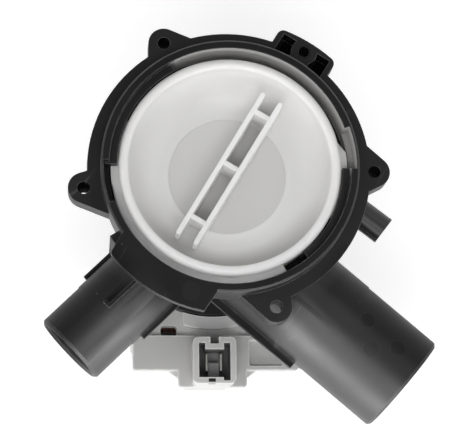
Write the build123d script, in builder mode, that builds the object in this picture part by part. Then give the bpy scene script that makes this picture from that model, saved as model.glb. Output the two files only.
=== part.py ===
from build123d import *
from math import cos, radians, sin, sqrt
import os

# Washer drain pump: black housing with a filter pot, white filter cap, grey motor with a plug socket.
# Lengths are millimetres and angles degrees. +Z comes out of the filter, and level zero is the
# front face of the collar round the filter. +Y points to the clip block.

os.makedirs("parts", exist_ok=True)

overrun = 1.0
edge_break = 0.6
wall = 2.5
running_gap = 0.1
right_angle = 90.0
half_turn = 180.0

# Cap, its lugs, and the mouth and bore round them
cap_radius = 38.8
cap_gap = 0.5
lug_reach = 2.7
lug_clearance = 0.6
lip_gap = 0.6
collar_wall = 2.9
seal_bore_radius = cap_radius + cap_gap
lug_radius = cap_radius + lug_reach
lip_radius = cap_radius + lip_gap
mouth_radius = lug_radius + lug_clearance
collar_radius = mouth_radius + collar_wall
mouth_floor = -13.0
recess_reach = 1.9
recess_radius = mouth_radius + recess_reach
recess_floor = -8.0
recess_start_angle = 30.5
recess_sweep_angle = 20.0

# Flange
flange_level = -7.5
flange_reach = 4.75
flange_radius = collar_radius + flange_reach
flange_thickness = 3.5
flange_rib_thickness = 1.6
flange_rib_depth = 7.0
flange_rib_angles = (58.0, 122.0, 165.0, 182.0, 200.0, 350.0, 8.0)

# Screw ears, and the clip block on the same hole circle
screw_circle_reach = 6.3
screw_circle_radius = collar_radius + screw_circle_reach
upper_ear_angle = 58.5
lower_ear_angle = 130.0
ear_radius = 5.5
ear_thickness = 7.5
ear_level = flange_level - ear_thickness
ear_hole_radius = 2.2
ear_boss_radius = 3.6
ear_boss_depth = 9.0
ear_foot_radius = 1.2
upper_long_foot_angle = 10.5
lower_long_foot_angle = 13.0
short_foot_angle = 7.6
ear_rib_thickness = 1.8
ear_rib_depth = 8.0
clip_reach = 10.4
clip_radius = collar_radius + clip_reach
clip_width = 23.2
clip_corner = 2.5
clip_hole_radius = 2.0
clip_boss_radius = 4.7
pocket_inner_gap = 0.4
pocket_wall = 2.1
pocket_inner_radius = collar_radius + pocket_inner_gap
pocket_outer_radius = clip_radius - pocket_wall
pocket_side_wall = 2.1
pocket_side = clip_width / 2 - pocket_side_wall
pocket_reach = 5.8
pocket_depth = 6.3

# Lobe: thin plate level with the collar's face, over the discharge duct
lobe_reach = 7.4
lobe_radius = collar_radius + lobe_reach
lobe_thickness = 3.5
lobe_start_angle = 249.4
lobe_end_angle = 291.4
lobe_foot_start_angle = 245.2
lobe_foot_end_angle = 295.6
lobe_left_corner = 2.0
lobe_right_corner = 4.0

# Bayonet lips
lip_top = -3.0
lip_thickness = 3.0
lip_bottom = lip_top - lip_thickness
lip_start_angle = -18.5
lip_sweep_angle = 50.0
second_lip_sweep_angle = 60.0

# Filter pot
neck_drop = 4.0
neck_radius = seal_bore_radius + wall
neck_level = ear_level - neck_drop
seal_bore_floor = -24.0
chamber_step = 3.8
chamber_radius = seal_bore_radius - chamber_step
chamber_outer_radius = chamber_radius + wall
shoulder_drop = 3.0
chamber_top = seal_bore_floor - shoulder_drop
chamber_floor = -52.0
partition_level = chamber_floor - wall

# Inlet pipe: its end seats the hose up to a low shoulder
pipe_end_break = 1.0
inlet_angle = 351.3
inlet_offset = 13.6
inlet_level = -33.5
inlet_radius = 19.0
inlet_wall = 2.8
inlet_bore_radius = inlet_radius - inlet_wall
inlet_start = 14.0
inlet_reach = 50.5
inlet_end = collar_radius + inlet_reach
inlet_seat_length = 30.5
inlet_seat_start = inlet_end - pipe_end_break - inlet_seat_length
inlet_rib_reach = 16.0
inlet_rib_end = collar_radius + inlet_rib_reach
inlet_rib_height = 2.8
shoulder_height = 0.25
pipe_rib_thickness = 2.0

# Outlet pipe, made the same way
outlet_angle = 255.9
outlet_offset = -4.9
outlet_level = -32.5
outlet_radius = 13.75
outlet_wall = 2.35
outlet_bore_radius = outlet_radius - outlet_wall
outlet_root_gap = 2.0
outlet_start = chamber_outer_radius + outlet_root_gap
outlet_reach = 37.0
outlet_end = collar_radius + outlet_reach
outlet_seat_length = 17.0
outlet_seat_start = outlet_end - pipe_end_break - outlet_seat_length
outlet_rib_reach = 15.0
outlet_rib_end = collar_radius + outlet_rib_reach
outlet_rib_height = 1.8
crown_rib_reach = 18.0
crown_rib_end = collar_radius + crown_rib_reach
crown_rib_height = 1.5
crown_rib_thickness = 1.2
crown_return = 3.0

# Hose nozzle, through the wall of the seal bore
nozzle_angle = 354.25
nozzle_offset = -20.1
nozzle_level = -21.5
nozzle_radius = 4.7
nozzle_wall = 1.8
nozzle_bore_radius = nozzle_radius - nozzle_wall
nozzle_root_gap = 0.2
nozzle_start = sqrt(seal_bore_radius**2 - nozzle_offset**2) + nozzle_root_gap
nozzle_reach = 11.0
nozzle_end = collar_radius + nozzle_reach
nozzle_end_break = 0.8
nozzle_rib_height = 0.8

# Discharge duct behind the lobe
duct_reach = 3.6
duct_radius = collar_radius + duct_reach
duct_start_angle = 243.0
duct_end_angle = 266.0
duct_side_angle = 3.0
duct_inner_gap = 1.5
duct_roof_gap = 2.0
duct_passage_top = seal_bore_floor - duct_roof_gap

# Pump chamber, turned about the motor's axis
motor_offset = 6.9
motor_offset_angle = 281.9
motor_turn_angle = 32.05
eye_radius = 9.0
pump_radius = 27.0
rear_level = -67.0
rear_flange_thickness = 5.0
groove_gap = 1.2
groove_width = 2.4
groove_inner_radius = pump_radius + groove_gap
groove_outer_radius = groove_inner_radius + groove_width
groove_depth = 2.0
can_flange_gap = 0.4
can_flange_radius = groove_outer_radius + can_flange_gap
screw_radius = 1.5
screw_side_gap = 0.3
screw_ring_radius = can_flange_radius + screw_side_gap + screw_radius
screw_rim = 1.7
rear_flange_radius = screw_ring_radius + screw_radius + screw_rim
screw_angles = (30.0, 150.0, 200.0, 340.0)
screw_boss_radius = 3.4
screw_boss_height = 8.0
screw_bite = 8.0
screw_head_radius = 2.8
screw_head_height = 2.0
drive_slot_length = 3.6
drive_slot_width = 0.9
drive_slot_depth = 1.1

# Filter cap
cap_top = -2.0
cap_rim_width = 3.4
cap_rim_round = 1.2
cap_skirt_gap = 3.0
cap_skirt_level = seal_bore_floor + cap_skirt_gap
cap_skirt_wall = 3.8
cap_thickness = 2.2
disc_radius = 21.0
disc_level = -18.0
disc_step = 0.4
dish_run_share = 0.736
dish_rise_share = 0.278
cap_pocket_radius = cap_radius - cap_skirt_wall
cap_pocket_top = -17.6
cap_pocket_ledge = 4.0
cap_pocket_inner = disc_radius + cap_pocket_ledge
lug_thickness = 3.2
lug_gap = 0.3
lug_top = lip_bottom - lug_gap
lug_start_angle = 6.5
lug_sweep_angle = 34.0
lug_tail_angle = 8.0

# Grip on the cap
grip_end_gap = 5.6
grip_half = cap_radius - cap_rim_width - grip_end_gap
grip_turn_angle = 1.0
grip_level = -5.5
blade_thickness = 1.7
blade_spacing = 7.0
blade_tip_round = 0.8
web_thickness = 1.8
web_place_shares = (-0.72, 0.035, 0.765)
web_drop = 1.2

# Seal round the cap
seal_clearance = 0.3
seal_seat_depth = 1.8
seal_inset = 1.2
seal_inner_radius = cap_radius - seal_seat_depth
seal_outer_radius = seal_bore_radius - seal_clearance
seal_top = mouth_floor - seal_inset
seal_height = 3.0

# Lint filter behind the cap
cage_inset = 1.0
cage_radius = cap_pocket_inner - cage_inset
cage_wall = 2.6
cage_ring_height = 3.0
cage_bars = 12
cage_bar_width = 3.0
cage_floor_gap = 0.6
cage_top = disc_level - cap_thickness
cage_bottom = chamber_floor + cage_floor_gap

# Impeller and its loose drive
shaft_radius = 2.0
impeller_side_gap = 3.5
impeller_radius = pump_radius - impeller_side_gap
impeller_face_gap = 1.5
impeller_front = partition_level - impeller_face_gap
hub_cover_thickness = 1.0
hub_cover_gap = 0.6
impeller_back = rear_level + hub_cover_gap + hub_cover_thickness
impeller_disc_thickness = 1.6
hub_cavity_radius = 7.8
hub_wall = 1.8
hub_radius = hub_cavity_radius + hub_wall
hub_front_thickness = 2.6
blade_count = 6
vane_thickness = 1.6
vane_bend_angle = 9.0
dog_hub_radius = 3.3
stop_gap = 0.5
stop_inner_radius = dog_hub_radius + stop_gap
stop_sweep_angle = 50.0
pad_sweep_angle = 9.0
dog_gap = 0.6
dog_radius = hub_cavity_radius - dog_gap
dog_sweep_angle = 50.0

# Rotor can, rotor and bearings
can_flange_thickness = 2.0
can_radius = 16.5
can_wall = 1.7
can_bore_radius = can_radius - can_wall
bearing_radius = 5.0
bearing_seat_wall = 2.0
carrier_inset = 1.0
carrier_height = 7.0
carrier_front = rear_level - carrier_inset
carrier_back = carrier_front - carrier_height
shaft_seal_height = 2.0
washer_radius = 4.5
washer_thickness = 1.5
washer_front = carrier_back - running_gap
magnet_gap = 0.8
magnet_radius = can_bore_radius - magnet_gap
magnet_front = washer_front - washer_thickness
magnet_edge = 0.8
rear_bearing_height = 3.4
end_play = 0.3
shaft_nose = 1.2
shaft_front = impeller_front - shaft_nose

# Front frame of the motor
frame_thickness = 4.0
frame_back = rear_level - frame_thickness
frame_right = 31.5
frame_bottom = -43.5
frame_hole_gap = 0.3
frame_window_left = -19.4
frame_window_right = -13.3
frame_window_drop = 4.1
frame_window_top = frame_bottom + frame_window_drop
frame_window_height = 3.9
frame_window_corner = 1.2
frame_lip_gap = 0.5
frame_lip_thickness = 4.5
frame_lip_inner = rear_flange_radius + frame_lip_gap
frame_lip_outer = frame_lip_inner + frame_lip_thickness
frame_lip_width = 22.6
frame_lip_height = 4.0
frame_lip_corner = 1.5
pad_size = 9.0
pad_edge = 6.5
pad_place_y = 15.0

# Stator core
core_stand = 6.5
core_front = frame_back - core_stand
core_depth = 24.0
core_back = core_front - core_depth
core_middle = (core_front + core_back) / 2
leg_inner = 12.0
leg_outer = 23.0
leg_middle = (leg_inner + leg_outer) / 2
pole_outer = 26.0
pole_bottom = -18.0
core_top = 21.5
yoke_top = -42.5
yoke_bottom = -50.4
pole_gap = 0.7
pole_bore_radius = can_radius + pole_gap
pad_place_x = pole_outer - pad_edge
core_screw_radius = 1.6
core_screw_head = 3.0
core_screw_head_height = 2.2

# Bobbins and windings
bobbin_wall = 0.9
bobbin_gap = 0.1
bobbin_side_gap = 2.0
bobbin_foot_gap = 0.3
bobbin_top = pole_bottom - bobbin_side_gap
bobbin_bottom = yoke_top + bobbin_foot_gap
bobbin_flange = 1.2
winding_depth = 3.9
winding_corner = 3.0
flange_margin = 0.2
tube_width = leg_outer - leg_inner + 2 * bobbin_gap + 2 * bobbin_wall
tube_depth = core_depth + 2 * bobbin_gap + 2 * bobbin_wall

# Coil cover behind the frame, and its wings in front of the core
cover_wall = 1.7
cover_side_gap = 0.2
cover_back_gap = 0.9
cover_half_width = leg_middle + tube_width / 2 + winding_depth + cover_side_gap + cover_wall
cover_back = core_middle - tube_depth / 2 - winding_depth - cover_back_gap - cover_wall
cover_top = -19.2
wall_tail = 5.0
vent_width = 3.0
vent_pitch = 8.4
vent_count = 5
vent_bottom = -38.5
vent_top = -24.0
wing_stand = 3.0
wing_front = rear_level + wing_stand
wing_depth = 5.0
wing_reach = 2.6
wing_right = cover_half_width + wing_reach
wing_bottom = -56.4
wing_corner = 1.2
box_half_width = 12.8
box_bottom = -62.8
box_depth = 3.0
foot_left = -10.3
foot_right = 5.4
foot_depth = 11.0
gusset_reach = 5.6
gusset_thickness = 2.0
panel_left = 13.8
panel_right = 26.2
panel_bottom = -54.9
panel_top = -45.1
panel_depth = 1.4
panel_corner = 0.8

# Can's closed end, and the bearing, magnet and shaft that follow it
can_end_gap = 0.6
can_end_level = cover_back + can_end_gap
can_floor = can_end_level + can_wall
magnet_back = can_floor + rear_bearing_height + end_play
shaft_back = can_floor + end_play

# Connector housing and terminals
shell_half_width = 8.0
shell_top = -45.6
shell_height = 11.0
shell_front = wing_front + shell_height
shell_wall = 2.2
shell_corner = 2.2
key_width = 7.0
key_depth = 2.4
notch_width = 3.2
notch_depth = 2.3
slot_width = 2.5
slot_depth = 1.2
latch_width = 2.8
latch_height = 4.0
latch_left = -2.4
tab_width = 6.3
tab_thickness = 0.8
tab_pitch = 5.4
tab_centre = -54.4
tab_recess = 5.0
tab_tip_break = 0.25
tab_hole_radius = 0.75
tab_hole_drop = 2.6
block_width = 4.0
block_height = 11.0
block_recess = 7.0

# Rear clamp of the core
clamp_thickness = 3.0
clamp_ring_wall = 2.4
clamp_bottom = -17.5
clamp_corner = 3.0
clamp_rib_thickness = 2.0
clamp_rib_height = 2.6


def at_polar(radius, angle):
    return (radius * cos(radians(angle)), radius * sin(radians(angle)))


def sector(inner, outer, start, sweep):
    # Flat piece of a ring between two radii
    with BuildSketch() as shape:
        with BuildLine():
            CenterArc((0, 0), outer, start, sweep)
            CenterArc((0, 0), inner, start, sweep)
            Line(at_polar(inner, start), at_polar(outer, start))
            Line(at_polar(inner, start + sweep), at_polar(outer, start + sweep))
        make_face()
    return shape.sketch


def span(left, right, bottom, top):
    # Flat rectangle between two pairs of edges
    with BuildSketch() as shape:
        with Locations(((left + right) / 2, (bottom + top) / 2)):
            Rectangle(right - left, top - bottom)
    return shape.sketch


def ear(angle, foot_circle, long_foot, other_foot):
    # Round ear whose sides run to two points of the flange
    with BuildSketch() as shape:
        with Locations(at_polar(screw_circle_radius, angle)):
            Circle(ear_radius)
        with Locations(at_polar(foot_circle, angle + long_foot)):
            Circle(ear_foot_radius)
        with Locations(at_polar(foot_circle, angle + other_foot)):
            Circle(ear_foot_radius)
        make_hull()
    return shape.sketch


def lobe_outline():
    with BuildSketch() as shape:
        with BuildLine():
            CenterArc((0, 0), lobe_radius, lobe_start_angle, lobe_end_angle - lobe_start_angle)
            Line(at_polar(lobe_radius, lobe_start_angle), at_polar(collar_radius, lobe_foot_start_angle))
            Line(
                at_polar(collar_radius, lobe_foot_start_angle), at_polar(mouth_radius, lobe_foot_start_angle)
            )
            CenterArc(
                (0, 0), mouth_radius, lobe_foot_start_angle, lobe_foot_end_angle - lobe_foot_start_angle
            )
            Line(at_polar(mouth_radius, lobe_foot_end_angle), at_polar(collar_radius, lobe_foot_end_angle))
            Line(at_polar(collar_radius, lobe_foot_end_angle), at_polar(lobe_radius, lobe_end_angle))
        make_face()
        corners = shape.vertices().sort_by_distance((0, 0))[-2:].sort_by(Axis.X)
        fillet(corners[0], lobe_left_corner)
        fillet(corners[1], lobe_right_corner)
    return shape.sketch


def drive_recess():
    # Cross recess of a screw's head
    with BuildSketch() as shape:
        Rectangle(drive_slot_length, drive_slot_width)
        Rectangle(drive_slot_width, drive_slot_length)
    return shape.sketch


def vane():
    # One curved vane, from the hub to the rim
    with BuildSketch() as shape:
        with BuildLine() as spine:
            ThreePointArc(
                (hub_cavity_radius, 0),
                ((hub_cavity_radius + impeller_radius) / 2, vane_thickness),
                at_polar(impeller_radius - vane_thickness, -vane_bend_angle),
            )
        SlotArc(spine.edge(), vane_thickness)
    return shape.sketch


def pipe_plane(angle, offset, level, along):
    # Plane across a pipe: its x runs up, its y to the right of the pipe's direction
    way = (cos(radians(angle)), sin(radians(angle)), 0)
    right = (way[1], -way[0])
    origin = (way[0] * along + right[0] * offset, way[1] * along + right[1] * offset, level)
    return Plane(origin=origin, x_dir=(0, 0, 1), z_dir=way)


def pipe_axis(angle):
    return Axis((0, 0, 0), (cos(radians(angle)), sin(radians(angle)), 0))


def motor_plane(level):
    # Plane at a level, centred on the motor's axis and turned with the motor
    return Plane(
        origin=(*at_polar(motor_offset, motor_offset_angle), level),
        x_dir=(cos(radians(motor_turn_angle)), sin(radians(motor_turn_angle)), 0),
        z_dir=(0, 0, 1),
    )


def motor_section():
    # Upright plane through the motor's axis, for turned pieces
    return Plane(
        origin=(*at_polar(motor_offset, motor_offset_angle), 0),
        x_dir=(cos(radians(motor_turn_angle)), sin(radians(motor_turn_angle)), 0),
        z_dir=(sin(radians(motor_turn_angle)), -cos(radians(motor_turn_angle)), 0),
    )


motor_axis = Axis((*at_polar(motor_offset, motor_offset_angle), 0), (0, 0, 1))


# Pump housing: collar, flange and pot
with BuildPart() as pump_housing:
    with BuildSketch(Plane.XZ):
        with BuildLine():
            Polyline(
                (0, 0),
                (collar_radius - edge_break, 0),
                (collar_radius, -edge_break),
                (collar_radius, ear_level),
                (neck_radius, neck_level),
                (neck_radius, seal_bore_floor),
                (chamber_outer_radius, chamber_top - wall),
                (chamber_outer_radius, partition_level),
                (0, partition_level),
                close=True,
            )
        make_face()
    revolve(axis=Axis.Z)

    # Flange plate, cut back to the collar on both sides of the lobe
    with BuildSketch(Plane.XY.offset(flange_level - flange_thickness)):
        add(sector(
            mouth_radius, flange_radius, right_angle - lower_ear_angle, 2 * lower_ear_angle
        ))
    extrude(amount=flange_thickness)
    with BuildSketch(Plane.XY.offset(-lobe_thickness)):
        add(lobe_outline())
    extrude(amount=lobe_thickness)
    with BuildSketch(Plane.XY.offset(ear_level)):
        for side in (1, -1):
            add(ear(
                right_angle + side * upper_ear_angle,
                flange_radius - ear_foot_radius,
                -side * upper_long_foot_angle,
                side * short_foot_angle,
            ))
            add(ear(
                right_angle + side * lower_ear_angle,
                collar_radius - ear_foot_radius,
                side * lower_long_foot_angle,
                -side * short_foot_angle,
            ))
    extrude(amount=ear_thickness)

    # Clip block
    with BuildSketch(Plane.XY.offset(ear_level)) as clip_outline:
        with Locations((0, clip_radius / 2)):
            Rectangle(clip_width, clip_radius)
        Circle(clip_radius, mode=Mode.INTERSECT)
        fillet(clip_outline.vertices().group_by(Axis.Y)[-1], clip_corner)
    extrude(amount=ear_thickness)

    # Screw bosses under the clip block and the ears, but for the ear over the inlet pipe
    boss_angles = (
        right_angle + upper_ear_angle, right_angle - upper_ear_angle, right_angle + lower_ear_angle
    )
    with BuildSketch(Plane.XY.offset(ear_level - ear_boss_depth)):
        for angle in boss_angles:
            with Locations(at_polar(screw_circle_radius, angle)):
                Circle(ear_boss_radius)
        with Locations((0, screw_circle_radius)):
            Circle(clip_boss_radius)
    extrude(amount=ear_boss_depth)

    # Ribs under the flange, and a deeper one behind each boss
    with BuildSketch(Plane.XY.offset(flange_level - flange_rib_depth)):
        for angle in flange_rib_angles:
            with Locations(Rotation(0, 0, angle)):
                with Locations(((flange_radius + mouth_radius) / 2 - edge_break, 0)):
                    Rectangle(flange_radius - mouth_radius, flange_rib_thickness)
    extrude(amount=flange_rib_depth)
    with BuildSketch(Plane.XY.offset(ear_level - ear_rib_depth)):
        for angle in (*boss_angles, right_angle):
            with Locations(Rotation(0, 0, angle)):
                with Locations(((neck_radius + flange_radius) / 2 - edge_break, 0)):
                    Rectangle(flange_radius - neck_radius, ear_rib_thickness)
    extrude(amount=ear_rib_depth)

    # Inlet pipe with its shoulder, and the rib along its side
    with BuildSketch(pipe_plane(inlet_angle, inlet_offset, inlet_level, inlet_start)):
        Circle(inlet_radius + shoulder_height)
    extrude(amount=inlet_seat_start - inlet_start)
    with BuildSketch(pipe_plane(inlet_angle, inlet_offset, inlet_level, inlet_seat_start)):
        Circle(inlet_radius)
    extrude(amount=inlet_end - inlet_seat_start)
    with BuildSketch(pipe_plane(inlet_angle, inlet_offset, inlet_level, inlet_start)):
        with Locations((0, inlet_radius)):
            Rectangle(pipe_rib_thickness, 2 * inlet_rib_height)
    extrude(amount=inlet_rib_end - inlet_start)

    # Outlet pipe with its shoulder, a rib on each side and one on its crown
    with BuildSketch(pipe_plane(outlet_angle, outlet_offset, outlet_level, outlet_start)):
        Circle(outlet_radius + shoulder_height)
    extrude(amount=outlet_seat_start - outlet_start)
    with BuildSketch(pipe_plane(outlet_angle, outlet_offset, outlet_level, outlet_seat_start)):
        Circle(outlet_radius)
    extrude(amount=outlet_end - outlet_seat_start)
    with BuildSketch(pipe_plane(outlet_angle, outlet_offset, outlet_level, outlet_start)):
        Rectangle(pipe_rib_thickness, 2 * (outlet_radius + outlet_rib_height))
    extrude(amount=outlet_rib_end - outlet_start)
    with BuildSketch(pipe_plane(outlet_angle, outlet_offset, outlet_level, outlet_start)):
        with Locations((outlet_radius, 0)):
            Rectangle(2 * crown_rib_height, crown_rib_thickness)
    extrude(amount=crown_rib_end - outlet_start)
    with BuildSketch(pipe_plane(outlet_angle, outlet_offset, outlet_level, crown_rib_end)):
        with Locations((outlet_radius, crown_return / 2 - crown_rib_thickness / 2)):
            Rectangle(2 * crown_rib_height, crown_return)
    extrude(amount=-crown_rib_thickness)

    # Hose nozzle
    with BuildSketch(pipe_plane(nozzle_angle, nozzle_offset, nozzle_level, nozzle_start)):
        Circle(nozzle_radius)
        with Locations((0, nozzle_radius)):
            Rectangle(flange_rib_thickness, 2 * nozzle_rib_height)
    extrude(amount=nozzle_end - nozzle_start)

    # Discharge duct, pump chamber and rear flange with its screw bosses
    with BuildSketch(Plane.XY.offset(rear_level)):
        add(sector(chamber_radius, duct_radius, duct_start_angle, duct_end_angle - duct_start_angle))
    extrude(amount=-lobe_thickness - rear_level)
    with BuildSketch(motor_plane(rear_level)):
        Circle(pump_radius + wall)
    extrude(amount=chamber_floor - rear_level)
    with BuildSketch(motor_plane(rear_level)):
        Circle(rear_flange_radius)
    extrude(amount=rear_flange_thickness)
    with BuildSketch(motor_plane(rear_level)):
        for angle in screw_angles:
            with Locations(at_polar(screw_ring_radius, angle)):
                Circle(screw_boss_radius)
    extrude(amount=rear_flange_thickness + screw_boss_height)

    # Mouth, seal bore and filter chamber
    with BuildSketch(Plane.XZ):
        with BuildLine():
            Polyline(
                (0, overrun),
                (mouth_radius, overrun),
                (mouth_radius, mouth_floor),
                (seal_bore_radius, mouth_floor),
                (seal_bore_radius, seal_bore_floor),
                (chamber_radius, chamber_top),
                (chamber_radius, chamber_floor),
                (0, chamber_floor),
                close=True,
            )
        make_face()
    revolve(axis=Axis.Z, mode=Mode.SUBTRACT)
    with BuildSketch(Plane.XY.offset(recess_floor)):
        for start in (recess_start_angle, recess_start_angle + half_turn):
            add(sector(lip_radius, recess_radius, start, recess_sweep_angle))
    extrude(amount=overrun - recess_floor, mode=Mode.SUBTRACT)

    # Bayonet lips, the one on the left longer
    lip_outer = (mouth_radius + collar_radius) / 2
    lip_end_angle = lip_start_angle + lip_sweep_angle
    with BuildSketch(Plane.XY.offset(lip_bottom)):
        add(sector(lip_radius, lip_outer, lip_start_angle, lip_sweep_angle))
        add(sector(
            lip_radius,
            lip_outer,
            lip_end_angle + half_turn - second_lip_sweep_angle,
            second_lip_sweep_angle,
        ))
    extrude(amount=lip_top - lip_bottom)

    # Bores of the pipes and the nozzle, with broken end edges
    with BuildSketch(pipe_plane(inlet_angle, inlet_offset, inlet_level, inlet_start)):
        Circle(inlet_bore_radius)
    extrude(amount=inlet_end - inlet_start + overrun, mode=Mode.SUBTRACT)
    chamfer(pump_housing.edges().group_by(pipe_axis(inlet_angle))[-1], pipe_end_break)
    with BuildSketch(pipe_plane(outlet_angle, outlet_offset, outlet_level, outlet_start)):
        Circle(outlet_bore_radius)
    extrude(amount=outlet_end - outlet_start + overrun, mode=Mode.SUBTRACT)
    chamfer(pump_housing.edges().group_by(pipe_axis(outlet_angle))[-1], pipe_end_break)
    with BuildSketch(pipe_plane(nozzle_angle, nozzle_offset, nozzle_level, nozzle_start)):
        Circle(nozzle_bore_radius)
    extrude(amount=nozzle_end - nozzle_start + overrun, mode=Mode.SUBTRACT)
    nozzle_rims = pump_housing.edges(Select.LAST).filter_by(GeomType.CIRCLE)
    chamfer(nozzle_rims.group_by(pipe_axis(nozzle_angle))[-1], nozzle_end_break)

    # Passage of the duct, from the pump chamber up to the outlet pipe
    with BuildSketch(Plane.XY.offset(rear_level + wall)):
        add(sector(
            chamber_outer_radius + duct_inner_gap,
            duct_radius - wall,
            duct_start_angle + duct_side_angle,
            duct_end_angle - duct_start_angle - 2 * duct_side_angle,
        ))
    extrude(amount=duct_passage_top - rear_level - wall, mode=Mode.SUBTRACT)
    with BuildSketch(Plane.XY.offset(rear_level + wall)):
        add(sector(
            eye_radius,
            duct_radius - wall,
            duct_start_angle + duct_side_angle,
            duct_end_angle - duct_start_angle - 2 * duct_side_angle,
        ))
    extrude(amount=partition_level - rear_level - wall, mode=Mode.SUBTRACT)
    with BuildSketch(motor_plane(rear_level - overrun)):
        Circle(pump_radius)
    extrude(amount=partition_level - rear_level + overrun, mode=Mode.SUBTRACT)
    with BuildSketch(motor_plane(partition_level - overrun)):
        Circle(eye_radius)
    extrude(amount=wall + 2 * overrun, mode=Mode.SUBTRACT)

    # Seal groove and screw holes of the rear flange
    with BuildSketch(motor_plane(rear_level)):
        Circle(groove_outer_radius)
        Circle(groove_inner_radius, mode=Mode.SUBTRACT)
    extrude(amount=groove_depth, mode=Mode.SUBTRACT)
    with BuildSketch(motor_plane(rear_level)):
        for angle in screw_angles:
            with Locations(at_polar(screw_ring_radius, angle)):
                Circle(screw_radius + running_gap)
    extrude(amount=screw_bite + overrun, mode=Mode.SUBTRACT)

    # Screw holes of the ears, clip hole and the two pockets beside it
    with BuildSketch(Plane.XY.offset(ear_level - ear_boss_depth)):
        for angle in boss_angles:
            with Locations(at_polar(screw_circle_radius, angle)):
                Circle(ear_hole_radius)
        with Locations((0, screw_circle_radius)):
            Circle(clip_hole_radius)
    extrude(amount=ear_thickness + ear_boss_depth + overrun, mode=Mode.SUBTRACT)
    with BuildSketch(Plane.XY.offset(ear_level)):
        with Locations(at_polar(screw_circle_radius, right_angle - lower_ear_angle)):
            Circle(ear_hole_radius)
    extrude(amount=ear_thickness + overrun, mode=Mode.SUBTRACT)
    with BuildSketch(Plane.XY.offset(flange_level - pocket_depth)):
        for side in (1, -1):
            with Locations((
                side * (pocket_side - pocket_reach / 2),
                (pocket_inner_radius + pocket_outer_radius) / 2,
            )):
                Rectangle(pocket_reach, pocket_outer_radius - pocket_inner_radius)
        with Locations((0, screw_circle_radius)):
            Circle(clip_boss_radius, mode=Mode.SUBTRACT)
    extrude(amount=pocket_depth + overrun, mode=Mode.SUBTRACT)
pump_housing.part.label = "pump_housing"
export_step(pump_housing.part, "parts/pump_housing.step")


# Filter cap: turned dish with a seal groove, two bayonet lugs and the grip
dish_run = cap_radius - cap_rim_width - disc_radius
dish_rise = cap_top - cap_rim_round - disc_level - disc_step
with BuildPart() as filter_cap:
    with BuildSketch(Plane.XZ) as cap_section:
        with BuildLine():
            Line((0, disc_level), (disc_radius, disc_level))
            Line((disc_radius, disc_level), (disc_radius, disc_level + disc_step))
            ThreePointArc(
                (disc_radius, disc_level + disc_step),
                (
                    disc_radius + dish_run_share * dish_run,
                    disc_level + disc_step + dish_rise_share * dish_rise,
                ),
                (cap_radius - cap_rim_width, cap_top - cap_rim_round),
            )
            ThreePointArc(
                (cap_radius - cap_rim_width, cap_top - cap_rim_round),
                (cap_radius - cap_rim_width / 2, cap_top),
                (cap_radius, cap_top - cap_rim_round),
            )
            Polyline(
                (cap_radius, cap_top - cap_rim_round),
                (cap_radius, seal_top),
                (seal_inner_radius, seal_top),
                (seal_inner_radius, seal_top - seal_height),
                (cap_radius, seal_top - seal_height),
                (cap_radius, cap_skirt_level),
                (cap_pocket_radius, cap_skirt_level),
                (cap_pocket_radius, cap_pocket_top),
                (cap_pocket_inner, disc_level - cap_thickness),
                (0, disc_level - cap_thickness),
                (0, disc_level),
            )
        make_face()
    revolve(axis=Axis.Z)

    # Lugs, run out to nothing at one end
    with BuildSketch(Plane.XY.offset(lug_top - lug_thickness)):
        for start in (lug_start_angle, lug_start_angle + half_turn):
            end = start + lug_sweep_angle
            add(sector(cap_radius - edge_break, lug_radius, start, lug_sweep_angle))
            with BuildLine():
                Polyline(
                    at_polar(lug_radius, end),
                    at_polar(cap_radius, end + lug_tail_angle),
                    at_polar(cap_radius - edge_break, end),
                    close=True,
                )
            make_face()
    extrude(amount=lug_thickness)

    # Two blades joined by three webs, turned a little on the cap
    grip_height = grip_level - disc_level + disc_step
    grip_plane = Plane.XY.offset(disc_level - disc_step).rotated((0, 0, grip_turn_angle))
    with BuildPart(mode=Mode.PRIVATE) as grip:
        with BuildSketch(grip_plane):
            for side in (1, -1):
                with Locations((side * blade_spacing / 2, 0)):
                    RectangleRounded(blade_thickness, 2 * grip_half, blade_tip_round)
        extrude(amount=grip_height)
        with BuildSketch(grip_plane):
            for share in web_place_shares:
                with Locations((0, share * grip_half)):
                    Rectangle(blade_spacing, web_thickness)
        extrude(amount=grip_height - web_drop)
    add(grip.part)
filter_cap.part.label = "filter_cap"
export_step(filter_cap.part, "parts/filter_cap.step")


# Seal ring in the groove of the cap
with BuildPart() as cap_seal:
    with BuildSketch(Plane.XY.offset(seal_top - seal_height)):
        Circle(seal_outer_radius)
        Circle(seal_inner_radius, mode=Mode.SUBTRACT)
    extrude(amount=seal_height)
    chamfer(cap_seal.edges().filter_by(GeomType.CIRCLE).sort_by(SortBy.RADIUS)[-2:], edge_break)
cap_seal.part.label = "cap_seal"
export_step(cap_seal.part, "parts/cap_seal.step")


# Lint filter: a cage of bars between two rings, fixed behind the cap
with BuildPart() as lint_filter:
    for level in (cage_top - cage_ring_height, cage_bottom):
        with BuildSketch(Plane.XY.offset(level)):
            Circle(cage_radius)
            Circle(cage_radius - cage_wall, mode=Mode.SUBTRACT)
        extrude(amount=cage_ring_height)
    with BuildSketch(Plane.XY.offset(cage_bottom)):
        with PolarLocations(cage_radius - cage_wall / 2, cage_bars):
            Rectangle(cage_wall - edge_break, cage_bar_width)
    extrude(amount=cage_top - cage_bottom)
lint_filter.part.label = "lint_filter"
export_step(lint_filter.part, "parts/lint_filter.step")


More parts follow.
